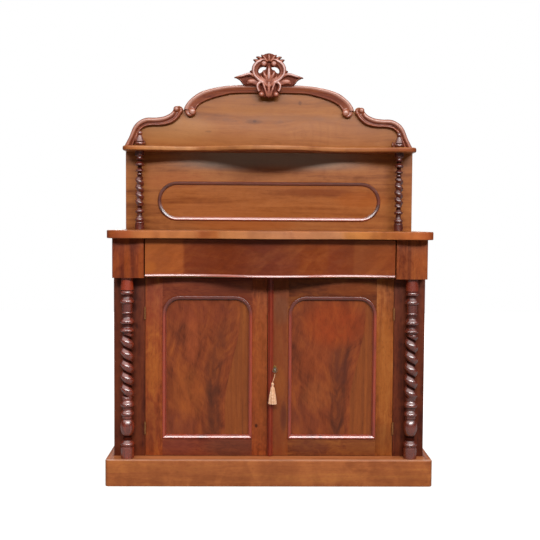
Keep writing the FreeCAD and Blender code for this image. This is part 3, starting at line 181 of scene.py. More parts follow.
def make_world():
    """A soft fill with a brighter sky in front. The camera sees white all round,
    and polish and metal see the white backdrop."""
    scene.world = bpy.data.worlds.new("world")
    nodes = Nodes(scene.world)
    _, y, z = nodes.split(nodes.make("ShaderNodeTexCoord", {}, "Generated"))

    def glow(colour, strength):
        return nodes.make("ShaderNodeBackground", {0: (*colour, 1), 1: strength})

    def blend(factor, first, second):
        return nodes.make("ShaderNodeMixShader", {0: factor, 1: first, 2: second})

    in_front = z.ease(0.34, 0.5) * y.ease(0.3, -0.2)
    light = blend(in_front, glow((1, 0.98, 0.96), FILL), glow((1, 0.98, 0.97), SKY))
    mirrored = nodes.ray_is("Glossy").calc("MAXIMUM", nodes.ray_is("Transmission")) * y.ease(0.93, 0.99)
    white_seen = nodes.ray_is("Camera").calc("MAXIMUM", mirrored)
    nodes.add("ShaderNodeOutputWorld", {0: blend(white_seen, light, glow((1, 1, 1), 1.0))})


def make_floor():
    """A plain pale floor that fades to white and keeps the object's shadow."""
    mesh = bpy.data.meshes.new("floor")
    mesh.from_pydata([(-6, -6, 0), (6, -6, 0), (6, 6, 0), (-6, 6, 0)], [], [(0, 1, 2, 3)])
    floor = place_object("floor", mesh)
    mesh.materials.append(bpy.data.materials.new("pale_floor"))
    nodes = Nodes(mesh.materials[0])
    place = nodes.make("ShaderNodeTexCoord", {}, "Object")
    far = nodes.make("ShaderNodeVectorMath", {0: place}, "Value", operation="LENGTH")
    lift = nodes.make("ShaderNodeEmission", {1: nodes.ray_is("Camera") * far.ease(0.7, 1.6, 0.78, 1.0)})
    matt = nodes.make("ShaderNodeBsdfDiffuse", {0: (0.3, 0.3, 0.295, 1)})
    nodes.add("ShaderNodeOutputMaterial", {0: nodes.make("ShaderNodeAddShader", {0: matt, 1: lift})})


# ---- materials

def rgb(code):
    """The linear colour of a six-figure screen colour."""
    parts = [int(code[i:i + 2], 16) / 255 for i in (0, 2, 4)]
    return tuple(c / 12.92 if c <= 0.04045 else ((c + 0.055) / 1.055) ** 2.4 for c in parts) + (1.0,)


def along(axis, across, lengthwise):
    """A noise scale that is stretched along the grain."""
    return tuple(lengthwise if letter == axis else across for letter in "xyz")


class Paint(Nodes):
    """A material whose colour is laid on in layers."""

    def __init__(self, name):
        self.material = bpy.data.materials.new(name)
        super().__init__(self.material)
        self.place = self.make("ShaderNodeTexCoord", {}, "Object")
        self.x, self.y, self.z = self.split(self.place)

    def noise(self, scale, detail, rough, twist=0.0, shift=(0, 0, 0), at=None):
        """Noise from 0 to 1 with its own scale along each axis, in patches per metre."""
        mapped = self.make("ShaderNodeMapping", {0: at or self.place, "Location": shift, "Scale": scale})
        return self.make("ShaderNodeTexNoise", {
            "Vector": mapped, "Scale": 1.0, "Detail": detail, "Roughness": rough, "Distortion": twist})

    def ramp(self, value, places, codes):
        """The colours of the codes, each at its place from 0 to 1."""
        node = self.add("ShaderNodeValToRGB", {0: value})
        elements = node.color_ramp.elements
        while len(elements) < len(codes):
            elements.new(0.5)
        for element, place, code in zip(elements, places, codes):
            element.position = place
            element.color = rgb(code)
        return Wire(self, node.outputs[0])

    def over(self, mask, colour):
        """Lays a colour over the paint, as much as the mask says."""
        if isinstance(colour, str):
            colour = rgb(colour)
        self.colour = self.make("ShaderNodeMix", {0: mask, 6: self.colour, 7: colour}, 2, data_type="RGBA")

    def spot(self, x, z, wide, tall, soft=0.8):
        """One inside an oval patch of the face, and nothing outside it."""
        across = (self.x - x) * (1 / wide)
        up = (self.z - z) * (1 / tall)
        return (across * across + up * up).ease(1 + soft, 1 - soft)

    def patch(self, patches, share=None):
        """Ovals of the face, each with its place, size, colour and amount."""
        for row in patches.split(","):
            x, z, wide, tall, code, amount = row.split()
            mask = self.spot(float(x), float(z), float(wide), float(tall)) * float(amount)
            self.over(mask if share is None else mask * share, code)

    def tone(self, streaks, figure, places, codes):
        """Streaks that a mottled figure and the fibres break up."""
        return self.ramp((self.mottle - 0.5) * figure + streaks + (self.fibre - 0.5) * 0.3, places, codes)

    def grain(self, axis, seed, codes, figure=0.5, broad=24, curl=40):
        """The colour of wood with its grain along an axis. The finish uses its mottle and fibre."""
        shift = (seed * 1.7, seed * 3.1, seed * 2.3)
        streaks = self.noise(along(axis, broad, 1.8), 5, 0.6, 0.9, shift)
        self.mottle = self.noise(along(axis, curl, curl * 0.62), 3, 0.6, 1.4, shift)
        self.fibre = self.noise(along(axis, 320, 14), 3, 0.6, 0, shift)
        return self.tone(streaks, figure, (0.28, 0.5, 0.74), codes)

    def pores(self, axis, seed, depth=0.3):
        """The short dark pores that lie along the grain."""
        ticks = self.noise(along(axis, 900, 60), 2, 0.5, 0, (seed, seed * 2, 0))
        self.over(ticks.between(0.6, 0.7, 0, depth), "2a0f08")

    def finish(self, gloss, lift=0.0003, strength=0.15, level=SHEEN, **constants):
        """Joins it all to the shader. A gloss of two numbers varies with the mottle."""
        if isinstance(gloss, tuple):
            gloss = self.mottle.between(0.3, 0.7, *gloss)
        normal = self.make("ShaderNodeBump", {"Height": self.fibre, "Distance": lift, "Strength": strength})
        inputs = {"Base Color": self.colour, "Roughness": gloss, "Normal": normal}
        for key, value in {"Specular_IOR_Level": level, **constants}.items():
            inputs[key.replace("_", " ")] = value
        self.add("ShaderNodeOutputMaterial", {0: self.make("ShaderNodeBsdfPrincipled", inputs)})
        return self.material


def wood(name, codes, axis, seed, figure=0.5, gloss=0.36, broad=24, patches="", level=SHEEN, lift=0.0003,
         ior=1.5):
    """Polished mahogany. The gloss varies less where the level is not that of a board."""
    paint = Paint(name + "_mahogany")
    paint.colour = paint.grain(axis, seed, codes.split(), figure, broad)
    if patches:
        paint.patch(patches)
    paint.pores(axis, seed, 0.45)
    spread = 0.05 if level == SHEEN else 0.01
    return paint.finish((gloss - spread, gloss + spread), lift, 0.2, level, IOR=ior)


def carved_wood(name, codes, hollow_shade, front, back, rim, rim_highlight, gloss=0.34):
    """Polished carving, with painted shade in its hollows and a painted highlight on its paler rims."""
    paint = Paint(name + "_mahogany")
    paint.colour = paint.grain("x", 4.0, codes.split(), 0.5, 60, 70)
    # painted shade, mottled, darkens the hollows; a painted highlight pales the rims at the front
    depth = paint.y.ease(front, back)
    paint.over(depth * paint.mottle.between(0.35, 0.65, 0.6, 0.95), hollow_shade)
    paint.over(paint.y.ease(rim + 0.003, rim, 0, 0.85), rim_highlight)
    paint.pores("x", 2.0)
    shine = depth.between(0, 1, gloss, gloss + 0.2)
    return paint.finish(shine, 0.00005, 0.1, depth.between(0.1, 0.9, 0.9, 0.15))


def turned_wood(name, codes, seed, centre, radii, cap=None, gloss=0.24, ior=1.65):
    """Turned mahogany, darker and duller in its grooves, where shade is painted. The post on the right is
    darker.
    """
    paint = Paint(name + "_mahogany")
    paint.colour = paint.grain("z", seed, codes.split(), 0.35, 90, 60)
    if cap:
        paint.over(paint.z.between(cap[0], cap[0] + 0.002), cap[1])
    paint.over(paint.x.between(0.0, 0.1, 0, 0.45), "3c120a")
    # painted shade: the parts near the axis, the grooves and necks, are darkened and dulled as if in shadow
    groove_shade = distance(abs(paint.x) - centre[0], paint.y - centre[1]).ease(radii[1], radii[0], 0, 0.92)
    paint.over(groove_shade, "140503")
    paint.pores("z", seed)
    shine = groove_shade * 0.35 + paint.mottle.between(0.3, 0.7, gloss, gloss + 0.05)
    return paint.finish(shine, 0.00005, 0.05, groove_shade.between(0.15, 0.7, 1.0, 0.02), IOR=ior)


def door_panel(name, shift, seed, patches):
    """Crotch mahogany with a strip of straight grain along its right side."""
    paint = Paint(name + "_mahogany")
    x = paint.x - shift
    off = x - paint.z.ease(0.36, 0.64, -0.203, -0.150)
    spread = abs(off)
    feather = paint.join(off, paint.y, spread * -0.9 + paint.z)
    plume = paint.noise((24, 20, 9), 4, 0.5, 0.9, (seed, 0, seed), feather)
    plain = paint.grain("z", seed + 3, ("663317", "763b19", "84461d"), 0.2, 60, 30)
    gloss = paint.mottle.between(0.3, 0.7, 0.33, 0.43)
    uneven = paint.mottle.between(0.3, 0.65, 0.45, 1.0)
    paint.mottle = paint.noise((14, 20, 46), 2, 0.5, 0.6, (seed, 0, seed), feather)
    paint.fibre = paint.noise((260, 20, 40), 3, 0.6, 0, (seed, 0, 0), feather)
    paint.colour = paint.tone(plume, 0.28, (0.22, 0.5, 0.8), ("4d1f0e", "713318", "8b461d"))
    spine = spread.ease(0.045, 0.008, 0, 0.75) * paint.z.ease(0.62, 0.40, 0.25, 1.0)
    paint.over(spine * plume.between(0.35, 0.62, 1.0, 0.35), "3c1e13")
    wobble = paint.noise((8, 8, 9), 2, 0.5, 0, (seed, 0, 0))
    border = (wobble - 0.5) * 0.006 + paint.z.ease(0.27, 0.60, -0.160, -0.107)
    paint.over((x - border).ease(-0.0015, 0.0035), plain)
    paint.patch(patches, uneven)
    paint.pores("z", seed, 0.35)
    return paint.finish(gloss)


def veneered(name, leaves, codes, seed, amount, figure, patches="", slant=0.0, low=None):
    """Leaves of different tone along the front. Level faces keep the plain grain, or take a paler colour as a
    painted highlight.
    """
    half = 0.6
    paint = Paint(name + "_mahogany")
    paint.colour = paint.grain("x", seed, codes.split(), figure, 30, 42)
    wander = paint.noise((3, 3, 30), 2, 0.5, 0, (seed, 0, 0))
    from_left = ((wander - 0.5) * 0.012 + paint.x).between(-half, half)
    places, tones = zip(*(row.split() for row in leaves.split(",")))
    leaf = paint.ramp(from_left, [(float(x) + half) / (2 * half) for x in places], tones)
    level = abs(paint.split(paint.make("ShaderNodeNewGeometry", {}, "Normal"))[2])
    # painted highlight: level faces, which catch the light from above, take the paler colour
    if low:
        paint.over(level.between(0.5, 0.8), low)
    paint.over(level.between(0.8, 0.4, 0, amount), leaf)
    slanted = paint.join(paint.z * slant + paint.x, paint.y, paint.z)
    streak = paint.noise((14, 20, 9), 4, 0.5, 0.5, (seed, 0, 0), slanted)
    paint.over(streak.between(0.42, 0.72, 0, 0.4), "5a2412")
    paint.over(streak.between(0.5, 0.3, 0, 0.1), "b87038")
    if patches:
        paint.patch(patches)
    paint.pores("x", seed)
    return paint.finish((0.30, 0.41), strength=0.2)


def upper_back_wood():
    """The raised back, richer inside the oval, with a pale grey painted under the shelf: a painted reflection
    that greys the shelf's shadow.
    """
    paint = Paint("upper_back_mahogany")
    inner = paint.grain("x", 8.0, ("723814", "8c4e22", "9c5c2e"), 0.3, 30, 30)
    paint.colour = paint.grain("x", 6.0, ("703b1c", "8f542b", "a16434"), 0.35, 26, 22)
    middle_z, half_tall, half_wide = 1.0125, 0.0745, 0.427
    beyond = (abs(paint.x) - (half_wide - half_tall)).calc("MAXIMUM", 0.0)
    far = distance(beyond, paint.z - middle_z)
    front = paint.y.between(0.196, 0.192)
    paint.over(front * far.between(half_tall - 0.003, half_tall - 0.005), inner)
    paint.patch((
        "0.18 1.050 0.13 0.012 6d2f0e 0.6, -0.24 0.975 0.16 0.03 96562c 0.4, "
        "-0.38 1.09 0.13 0.03 965029 0.4, 0.36 1.02 0.1 0.03 964b16 0.4, "
        "-0.1 0.922 0.2 0.02 964c18 0.5"))
    # painted reflection: a pale grey laid where the shelf's shadow falls, so that this shadow looks grey
    painted_shadow_veil = paint.z.ease(1.12, 1.165, 0, 0.8) * abs(paint.x).ease(0.46, 0.12)
    paint.over(painted_shadow_veil * front, "8a8274")
    paint.pores("x", 1.0)
    return paint.finish((0.34, 0.44))


def pediment_wood():
    """A wide golden board with broad bands, a few knots and a cathedral figure."""
    paint = Paint("pediment_mahogany")
    bend = paint.noise((2.2, 2, 5), 2, 0.5, 0, (3, 0, 1))
    at = paint.join(paint.x, paint.y, (bend - 0.5) * 0.10 + paint.z)
    bands = paint.noise((1.2, 5, 26), 5, 0.6, 0.6, (5, 0, 2), at)
    paint.mottle = paint.noise((16, 16, 30), 3, 0.6, 1.2, (2, 0, 4), at)
    paint.fibre = paint.noise((14, 40, 320), 3, 0.6, 0, (1, 0, 1), at)
    paint.colour = paint.tone(bands, 0.3, (0.26, 0.5, 0.72), ("703d19", "8b5225", "986031"))
    waves = (distance((paint.x - 0.13) * 9.0, (paint.z - 1.27) * 5.0) * 24.0).calc("SINE")
    paint.over(waves.between(0.2, 1.0, 0, 0.14) * paint.spot(0.18, 1.275, 0.11, 0.05, 0.7), "6c3712")
    paint.patch((
        "-0.058 1.318 0.007 0.005 391608 0.9, -0.06 1.316 0.03 0.008 5f3212 0.6, "
        "-0.235 1.278 0.012 0.004 52260c 0.7, 0.115 1.388 0.006 0.008 52260c 0.6, "
        "-0.36 1.285 0.14 0.05 a06c3c 0.6, 0.35 1.31 0.09 0.04 844d29 0.5, "
        "0.0 1.40 0.06 0.02 6c3d1b 0.35, -0.12 1.36 0.1 0.02 915928 0.5, "
        "-0.2 1.24 0.2 0.02 945c2d 0.5, 0.1 1.33 0.2 0.012 7d4a21 0.45"))
    paint.pores("x", 1.0, 0.25)
    return paint.finish((0.34, 0.44))


PINE = ("8f6238", "b98a58", "cfa673")


def pine_wood():
    """Unpolished pine for the inside and back."""
    paint = Paint("old_pine")
    paint.colour = paint.grain("z", 9.0, PINE, 0.3, 18, 14)
    ring = paint.noise((60, 60, 1.5), 2, 0.5, 0.4, (2, 2, 0))
    paint.over(ring.between(0.55, 0.68, 0, 0.5), "7d4d26")
    dust = paint.noise((6, 6, 6), 4, 0.6)
    paint.over(dust.between(0.45, 0.75, 0, 0.35), "6e5a44")
    return paint.finish(paint.mottle.between(0.2, 0.8, 0.6, 0.8), 0.0005, 0.35, 0.3)


def floor_wood():
    """The cupboard floor: polished in front of the doors, and pine behind."""
    paint = Paint("floor_mahogany")
    paint.colour = paint.grain("x", 4.4, ("7c4222", "a05e36", "b06c40"), 0.3, 30, 30)
    paint.over(paint.y.between(-0.062, -0.060), paint.grain("x", 9.0, PINE, 0.3, 18, 14))
    paint.pores("x", 4.4)
    return paint.finish(paint.mottle.between(0.2, 0.8, 0.45, 0.6), 0.0001, 0.2, 0.2)


def metal(name, light, dark, gloss):
    """Aged metal with duller, darker patches."""
    paint = Paint(name)
    paint.mottle = paint.noise((220, 220, 220), 4, 0.6, 0.5)
    paint.fibre = paint.noise((1500, 1500, 300), 2, 0.5)
    paint.colour = paint.ramp(paint.mottle.between(0.35, 0.7), (0.0, 1.0), (light, dark))
    return paint.finish((gloss, gloss + 0.2), 0.0001, 0.3, 0.5, Metallic=1.0)


def silk():
    """Pale peach silk thread."""
    paint = Paint("peach_silk")
    paint.mottle = paint.noise((90, 90, 160), 3, 0.6)
    paint.fibre = paint.noise((1800, 1800, 300), 2, 0.5)
    paint.colour = paint.ramp(paint.mottle.between(0.3, 0.7), (0.0, 0.5, 1.0), ("c38f6b", "d4a480", "deb898"))
    return paint.finish((0.5, 0.65), 0.0002, 0.4, 0.4, Sheen_Weight=0.35, Sheen_Roughness=0.4)


# ---- mesh helpers

def mesh_from(work, name, angle):
    """The mesh of a finished bmesh, smooth but for edges that are sharper than the angle."""
    mesh = bpy.data.meshes.new(name)
    work.to_mesh(mesh)
    work.free()
    mesh.shade_smooth()
    mesh.set_sharp_from_angle(angle=math.radians(angle))
    return mesh


def add_piece(name, mesh, body, slot, material, nodes=()):
    """A piece that rides a body, and stands for the CAD nodes that are named."""
    piece = place_object(name, mesh)
    mesh.materials.clear()
    mesh.materials.append(material)
    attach(piece, body)
    if nodes:
        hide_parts(*nodes)
    return piece


def mesh_of(name, points, faces, angle):
    """A mesh from points in millimetres, with its faces turned outwards."""
    rough = bpy.data.meshes.new("rough")
    rough.from_pydata([(x * MM, y * MM, z * MM) for x, y, z in points], [], faces)
    work = bmesh.new()
    work.from_mesh(rough)
    bpy.data.meshes.remove(rough)
    bmesh.ops.remove_doubles(work, verts=work.verts, dist=1e-6)
    bmesh.ops.recalc_face_normals(work, faces=work.faces)
    return mesh_from(work, name, angle)


def add_shape(name, shape, angle, material, *nodes, body="carcase", slot="dark_mahogany"):
    """A piece from its points and faces."""
    return add_piece(name, mesh_of(name, *shape, angle), body, slot, material, nodes)


def soften(node, width, material, slot="mahogany"):
    """A copy of a CAD board with eased edges, which stands for it."""
    source = frame["nodes"][node]
    body = body_of(source)[0]
    work = bmesh.new()
    work.from_mesh(source.data)
    bmesh.ops.remove_doubles(work, verts=work.verts, dist=2e-6)
    bmesh.ops.dissolve_limit(work, angle_limit=math.radians(0.4), verts=work.verts, edges=work.edges)
    if width:
        edges = [e for e in work.edges if len(e.link_faces) == 2 and e.calc_face_angle() > math.radians(30)]
        bmesh.ops.bevel(work, geom=edges, offset=width * MM, offset_type="OFFSET", segments=3,
                        profile=0.5, affect="EDGES", clamp_overlap=True)
    name = node + "_dressed"
    add_piece(name, mesh_from(work, name, 40), body, slot, material, [node])


def dress(material, *nodes):
    """Gives CAD nodes that stay in view their material."""
    for node in nodes:
        piece = frame["nodes"][node]
        if not piece.material_slots:
            piece.data.materials.append(material)
        for place in piece.material_slots:
            place.material = material


def curve_through(points):
    """Points along a smooth curve through rows of numbers, about 1 mm apart."""
    rows = np.array(points, float)
    ends = np.vstack([2 * rows[0] - rows[1], rows, 2 * rows[-1] - rows[-2]])
    made = []
    for p0, p1, p2, p3 in zip(ends, ends[1:], ends[2:], ends[3:]):
        count = max(2, int(np.linalg.norm((p2 - p1)[:2])))
        for t in np.linspace(0, 1, count, endpoint=False):
            made.append(p1 + (p2 - p0) * t / 2 + (2 * p0 - 5 * p1 + 4 * p2 - p3) * t ** 2 / 2
                        + (3 * p1 - p0 - 3 * p2 + p3) * t ** 3 / 2)
    return np.array(made + [rows[-1]])


def resample(points, count):
    """The same line in a number of even steps."""
    line = curve_through(points)
    reached = np.append(0, np.cumsum(np.linalg.norm(np.diff(line, axis=0), axis=1)))
    wanted = np.linspace(0, reached[-1], count)
    return zip(*(np.interp(wanted, reached, column) for column in line.T))


def grid_faces(rows, columns, loop_rows=False):
    """Faces between neighbouring rows of points, each of which is a closed ring."""
    faces = []
    for i in range(rows if loop_rows else rows - 1):
        here, above = i * columns, (i + 1) % rows * columns
        for j in range(columns):
            after = (j + 1) % columns
            faces.append((here + j, here + after, above + after, above + j))
    return faces


def tube(rows):
    """The points and faces of a tube through rows of points, with a cap at each end."""
    count = len(rows[0])
    points = [point for row in rows for point in row]
    caps = [tuple(range(count)), tuple(range(len(points) - count, len(points)))]
    return points, grid_faces(len(rows), count) + caps


def join_shapes(shapes):
    """The points and faces of several shapes as one."""
    points, faces = [], []
    for more_points, more_faces in shapes:
        faces += [tuple(len(points) + v for v in face) for face in more_faces]
        points += more_points
    return points, faces


def ring(x, y, z, radius, count, upright=False):
    """Points in even steps round a centre. The radius may change on the way."""
    angles = np.linspace(0, FULL_TURN, count, endpoint=False)
    across, up = radius * np.cos(angles), radius * np.sin(angles)
    level = np.zeros(count)
    return list(zip(x + across, y + (level if upright else up), z + (up if upright else level)))


def arc(centre_x, centre_z, radius, first, sweep, steps):
    """Points along an arc from an angle in degrees."""
    angles = np.radians(np.linspace(first, first + sweep, steps + 1))
    return list(zip(centre_x + radius * np.cos(angles), centre_z + radius * np.sin(angles)))


# ---- turned work

# the parts of each post from the bottom up: kind, height and width, and a flare's neck
COLUMN_BASE = ("drum 39 48, drum 4 43, flare 30 50 30, cove 7 27, egg 62 50, drum 10 36, flare 28 47 33, "
               "drum 3 33, flare 33 49 34")
COLUMN_HEAD = ("drum 5 33, flare 25 50 31, drum 4 31, flare 32 50 32, drum 3 32, bead 10 40, drum 27 36, "
               "flare 32 49.5 31, bead 14 48, drum 2 40, taper 44 46")
SMALL_BASE = "drum 22 34.5, bead 6 35, drum 2 30, flare 28 34 19, drum 4 19, flare 25 33 16, drum 2 16"
SMALL_HEAD = ("drum 3 15, bead 10 21, drum 4 15, flare 19 30 15, drum 3 15, flare 24 35 15, drum 3 28, "
              "cove 12 21, drum 17 35")
FINIAL = "drum 4 22, bead 12 36, drum 2 22, bell 22 34, drum 3 12, bead 12 19, drum 3 8"


def wave(share):
    """From one down to zero, with a soft start and end."""
    return 0.5 + 0.5 * math.cos(math.pi * share)


def turned_rows(parts, low):
    """Heights and radii up a turned stack. A flare is a ring that sweeps up to a neck."""
    rows = []
    for part in parts.split(","):
        kind, *sizes = part.split()
        tall, wide, *neck = (float(size) for size in sizes)
        r = wide / 2
        if kind == "drum":
            ease = min(0.8, tall / 4)
            made = [(0, r - ease), (ease, r), (tall - ease, r), (tall, r - ease)]
        elif kind == "taper":
            made = [(0, r - 1), (1, r), (tall * 0.5, r * 0.96), (tall - 1, r * 0.9), (tall, r * 0.9 - 1)]
        elif kind == "flare":
            foot, thin = 0.24 * tall, neck[0] / 2
            made = [(foot * (1 - math.cos(a)), r - (1 - math.sin(a)) * (r - thin) * 0.75)
                    for a in np.linspace(0, math.pi / 2, 8)]
            made += [(foot + (tall - foot) * t, thin + (r - thin) * wave(min(1.0, t / 0.72)))
                     for t in np.linspace(0, 1, 15)[1:]]
        else:
            made = []
            for a in np.linspace(-math.pi / 2, math.pi / 2, 15):
                up, bulge = (math.sin(a) + 1) / 2, 1 - math.cos(a)
                shapes = {"bead": r - min(0.42 * tall, 0.3 * r) * bulge, "cove": r + 0.3 * tall * bulge,
                          "egg": r * (0.5 + 0.5 * math.cos(a) ** 1.3), "bell": r * (1 - 0.5 * up ** 0.8)}
                made.append((up * tall, shapes[kind]))
        rows += [(low + h, radius) for h, radius in made]
        low += tall
    return rows, low


def turned_post(name, node, x, y, rows, material, twist=None, around=72):
    """A turned post. A twist is its low and high end, width, depth, pitch and turn."""
    angles = np.linspace(0, FULL_TURN, around, endpoint=False)
    rings = [(z, r) for z, r in rows if twist is None or not twist[0] < z < twist[1]]
    if twist is not None:
        low, high, wide, depth, pitch, turn = twist
        plain = wide / 2 - depth * 0.55
        for z in np.linspace(low, high, int((high - low) / 1.6)):
            phase = math.radians(turn - 360 * (z - low) / pitch)
            ridge = 0.5 + 0.5 * np.cos(angles - phase)
            radius = wide / 2 - depth + depth * ridge ** 0.62
            fade = min(1.0, (z - low) / 9, (high - z) / 9)
            rings.append((z, plain + (radius - plain) * (0.25 + 0.75 * fade)))
    rings.sort(key=lambda ring: ring[0])
    shape = tube([ring(x, y, z, radius, around) for z, radius in rings])
    add_shape(name, shape, 30, material, node)


def make_columns(column, small, finial):
    """Posts turned up from their bottom. Columns also have a twist, and a head that ends at the top."""
    for node, x, y, base, bottom, head, top, twist, turns, timber in (
        ("column", 504, -106.5, COLUMN_BASE, 93, COLUMN_HEAD, 736, (49, 12, 43), (128, 52), column),
        ("small_column", 490, 138.5, SMALL_BASE, 903, SMALL_HEAD, 1198, (33, 7, 26.5), (71, 228), small),
        ("finial", 489, 138.5, FINIAL, 1216, "", 0, None, (0, 0), finial),
    ):
        rows, low = turned_rows(base, bottom)
        high = top
        if head:
            high -= turned_rows(head, 0)[1]
            rows += turned_rows(head, high)[0]
        for (side, label), turn in zip(SIDES, turns):
            turned_post(f"turned_{node}_{label}", f"{node}_{label}", side * x, y, rows, timber,
                        twist and (low, high, *twist, turn))


# ---- mouldings

def door_outline(x0, x1, z0, z1, radius, inset):
    """Square bottom corners and round top corners, moved inwards by an inset."""
    r = radius - inset
    return [(x0 + inset, z0 + inset), (x1 - inset, z0 + inset),
            *arc(x1 - radius, z1 - radius, r, 0, 90, 12), *arc(x0 + radius, z1 - radius, r, 90, 90, 12)]


def oval_outline(half_wide, z0, z1, inset):
    """A long oval with round ends, moved inwards by an inset."""
    tall, middle = (z1 - z0) / 2, (z0 + z1) / 2
    return arc(half_wide - tall, middle, tall - inset, -90, 180, 20) \
        + arc(tall - half_wide, middle, tall - inset, 90, 180, 20)


def ring_moulding(name, outline, profile, body, material, node):
    """A closed moulding from a profile of insets and depths."""
    rings = [[(x, y, z) for x, z in outline(inset)] for inset, y in profile]
    faces = grid_faces(len(rings), len(rings[0]), True)
    add_shape(name, (sum(rings, []), faces), 21, material, node, body=body)


def slope(start, depth, step, count, first, last):
    """Insets and depths of a slope whose angle grows from first to last."""
    made = []
    for i in range(count):
        depth += step * math.tan(math.radians(first + (last - first) * i / (count - 1)))
        made.append((start + step * i, depth))
    return made


# a small bead on the frame's edge, a broad rounded slope and a steep fall to the panel
DOOR_PROFILE = [*rows_of("0 -71.5, 0 -82.6, 0.4 -84.2, 1.2 -85.2, 1.9 -85.5"),
                *slope(3.1, -85.5, 0.9, 9, 17, 31), *rows_of(
                "11 -79.6, 11.5 -77.5, 11.8 -75.5, 11.9 -72.6, 12.9 -72.4, 12.9 -71.5")]
# a steep rise on the outside and a rounded slope towards the middle
OVAL_PROFILE = [*rows_of("0 186.5, 0 184.4, 0.8 183.6, 1.2 181.8, 2 180.4, 3.2 179.6, 4.2 179.5"),
                *slope(5, 179.5, 0.8, 8, 10, 23), *rows_of("11.4 183.4, 12.2 184.6, 13 184.9, 13 186.5")]


def make_mouldings(material, oval_material):
    for label, x0, x1 in (("left", -382.4, -62.0), ("right", 67.0, 382.4)):
        ring_moulding(f"{label}_door_bead", lambda inset: door_outline(x0, x1, 156.6, 669.4, 63, inset),
                      DOOR_PROFILE, f"{label}_door", material, f"{label}_moulding")
    ring_moulding("oval_bead", lambda inset: oval_outline(427, 938, 1087, inset), OVAL_PROFILE,
                  "carcase", oval_material, "panel_moulding")


def swell(x):
    """The depth of the serpentine drawer at x: pairs of arcs between level stations."""
    x = abs(x)
    (x0, y0), (x1, y1) = ((0, -171.5), (300, -113.5)) if x <= 300 else ((300, -113.5), (526, -148.5))
    wide, deep = x1 - x0, y1 - y0
    radius = (wide ** 2 + deep ** 2) / (4 * abs(deep))
    near = min(x - x0, x1 - x)
    fall = math.copysign(radius - math.sqrt(radius ** 2 - near ** 2), deep)
    return y0 + fall if x < (x0 + x1) / 2 else y1 - fall


def make_lip(material):
    """The drawer's lower lip, with a nose that leans back."""
    half = 438
    profile = rows_of("0 741.5, 5.6 741.5, 6.6 741.9, 7 742.7, 6.85 743.9, 6.45 745.5, 5.85 747.3, 5.1 749, "
                      "4.2 750.1, 0 750.5")
    rows = []
    for x in np.linspace(-half, half, 147):
        tilt = swell(x + 0.5) - swell(x - 0.5)
        lean = math.hypot(1, tilt)
        rows.append([(min(half, max(-half, x + out * tilt / lean)), swell(x) - out / lean, z)
                     for out, z in profile])
    add_shape("drawer_nosing", tube(rows), 40, material, "drawer_lip", body="drawer", slot="mahogany")


def make_astragal(material):
    """The strip on the closing edge: a reeded bead between two quirks."""
    bead = [(3.5 - 5.9 * math.cos(a), -83.6 - 4.9 * math.sin(a)) for a in np.radians(np.arange(0, 181, 18))]
    profile = [*rows_of("-6 -80.5, -6 -83.6, -5.4 -84.4, -3.6 -84.6, -3 -83.6"), *bead,
               *rows_of("10 -83.6, 10.6 -84.6, 12.4 -84.4, 13 -83.6, 13 -80.5")]
    rows = [[(x, y, z) for x, y in profile] for z in (94.6, 734.4)]
    add_shape("reeded_astragal", tube(rows), 38, material, "astragal", body="right_door")


# ---- pediment rails and carving

RAIL_BACK = 186.5        # the pediment panel's face, on which the rails lie
CREST_BACK = 166.5       # the face that carries the crest


def at_pediment(across, up):
    """A place on the pediment from its shares of the half width and the height."""
    return across * 549 - 3, 1216 + up * 236


ARCH_OUTER = ("0 1.015, 0.1 1.014, 0.173 1.008, 0.277 0.993, 0.359 0.966, 0.441 0.919, 0.497 0.861, "
              "0.552 0.757, 0.581 0.667, 0.59 0.61")
ARCH_INNER = "0 0.881, 0.23 0.875, 0.319 0.839, 0.408 0.78, 0.468 0.716, 0.495 0.661, 0.512 0.593"


def make_arch(material):
    """The moulded arch rail with a round scroll at each end."""
    lines = []
    for half in (rows_of(ARCH_OUTER), rows_of(ARCH_INNER)):
        whole = [(-x, z) for x, z in reversed(half)] + half[1:]
        lines.append(resample([at_pediment(x, z) for x, z in whole], 160))
    profile = rows_of("0 9, 0.01 12.5, 0.04 15.8, 0.09 18.2, 0.15 19.6, 0.22 19.9, 0.29 19.3, 0.37 17.8, "
                      "0.46 15.6, 0.56 13.2, 0.66 11.2, 0.75 9.9, 0.82 9.3, 0.83 10.6, 0.87 11.6, "
                      "0.93 11.3, 0.97 9.8, 1 7, 1 0, 0 0")
    rows = []
    for (x0, z0), (x1, z1) in zip(*lines):
        rows.append([(x0 * (1 - share) + x1 * share, RAIL_BACK - height, z0 * (1 - share) + z1 * share)
                     for share, height in profile])
    add_shape("arch_moulding", tube(rows), 42, material, "arch_rail")
    disc = rows_of("19.6 0, 19.8 8.5, 19.2 11.5, 17.6 13.6, 15.2 14.4, 12 13.6, 0.5 12.5")
    eye = [(13.0, 0), (13.4, 11.0)]
    eye += [(13.4 * math.cos(t), 11.5 + 8.4 * math.sin(t)) for t in np.linspace(0.1, 1.52, 14)]
    for side, label in SIDES:
        x, z = at_pediment(side * 0.546, 0.581)
        for name, shift, profile in (("scroll", 0.0, disc), ("eye", 7.5, eye)):
            rows = [ring(x - side * shift, RAIL_BACK - height, z - 0.3 * shift, radius, 40, True)
                    for radius, height in profile]
            add_shape(f"arch_{name}_{label}", tube(rows), 45, material)


def corners(grid):
    """The four corners of each cell of a grid."""
    return grid[:-1, :-1], grid[:-1, 1:], grid[1:, 1:], grid[1:, :-1]


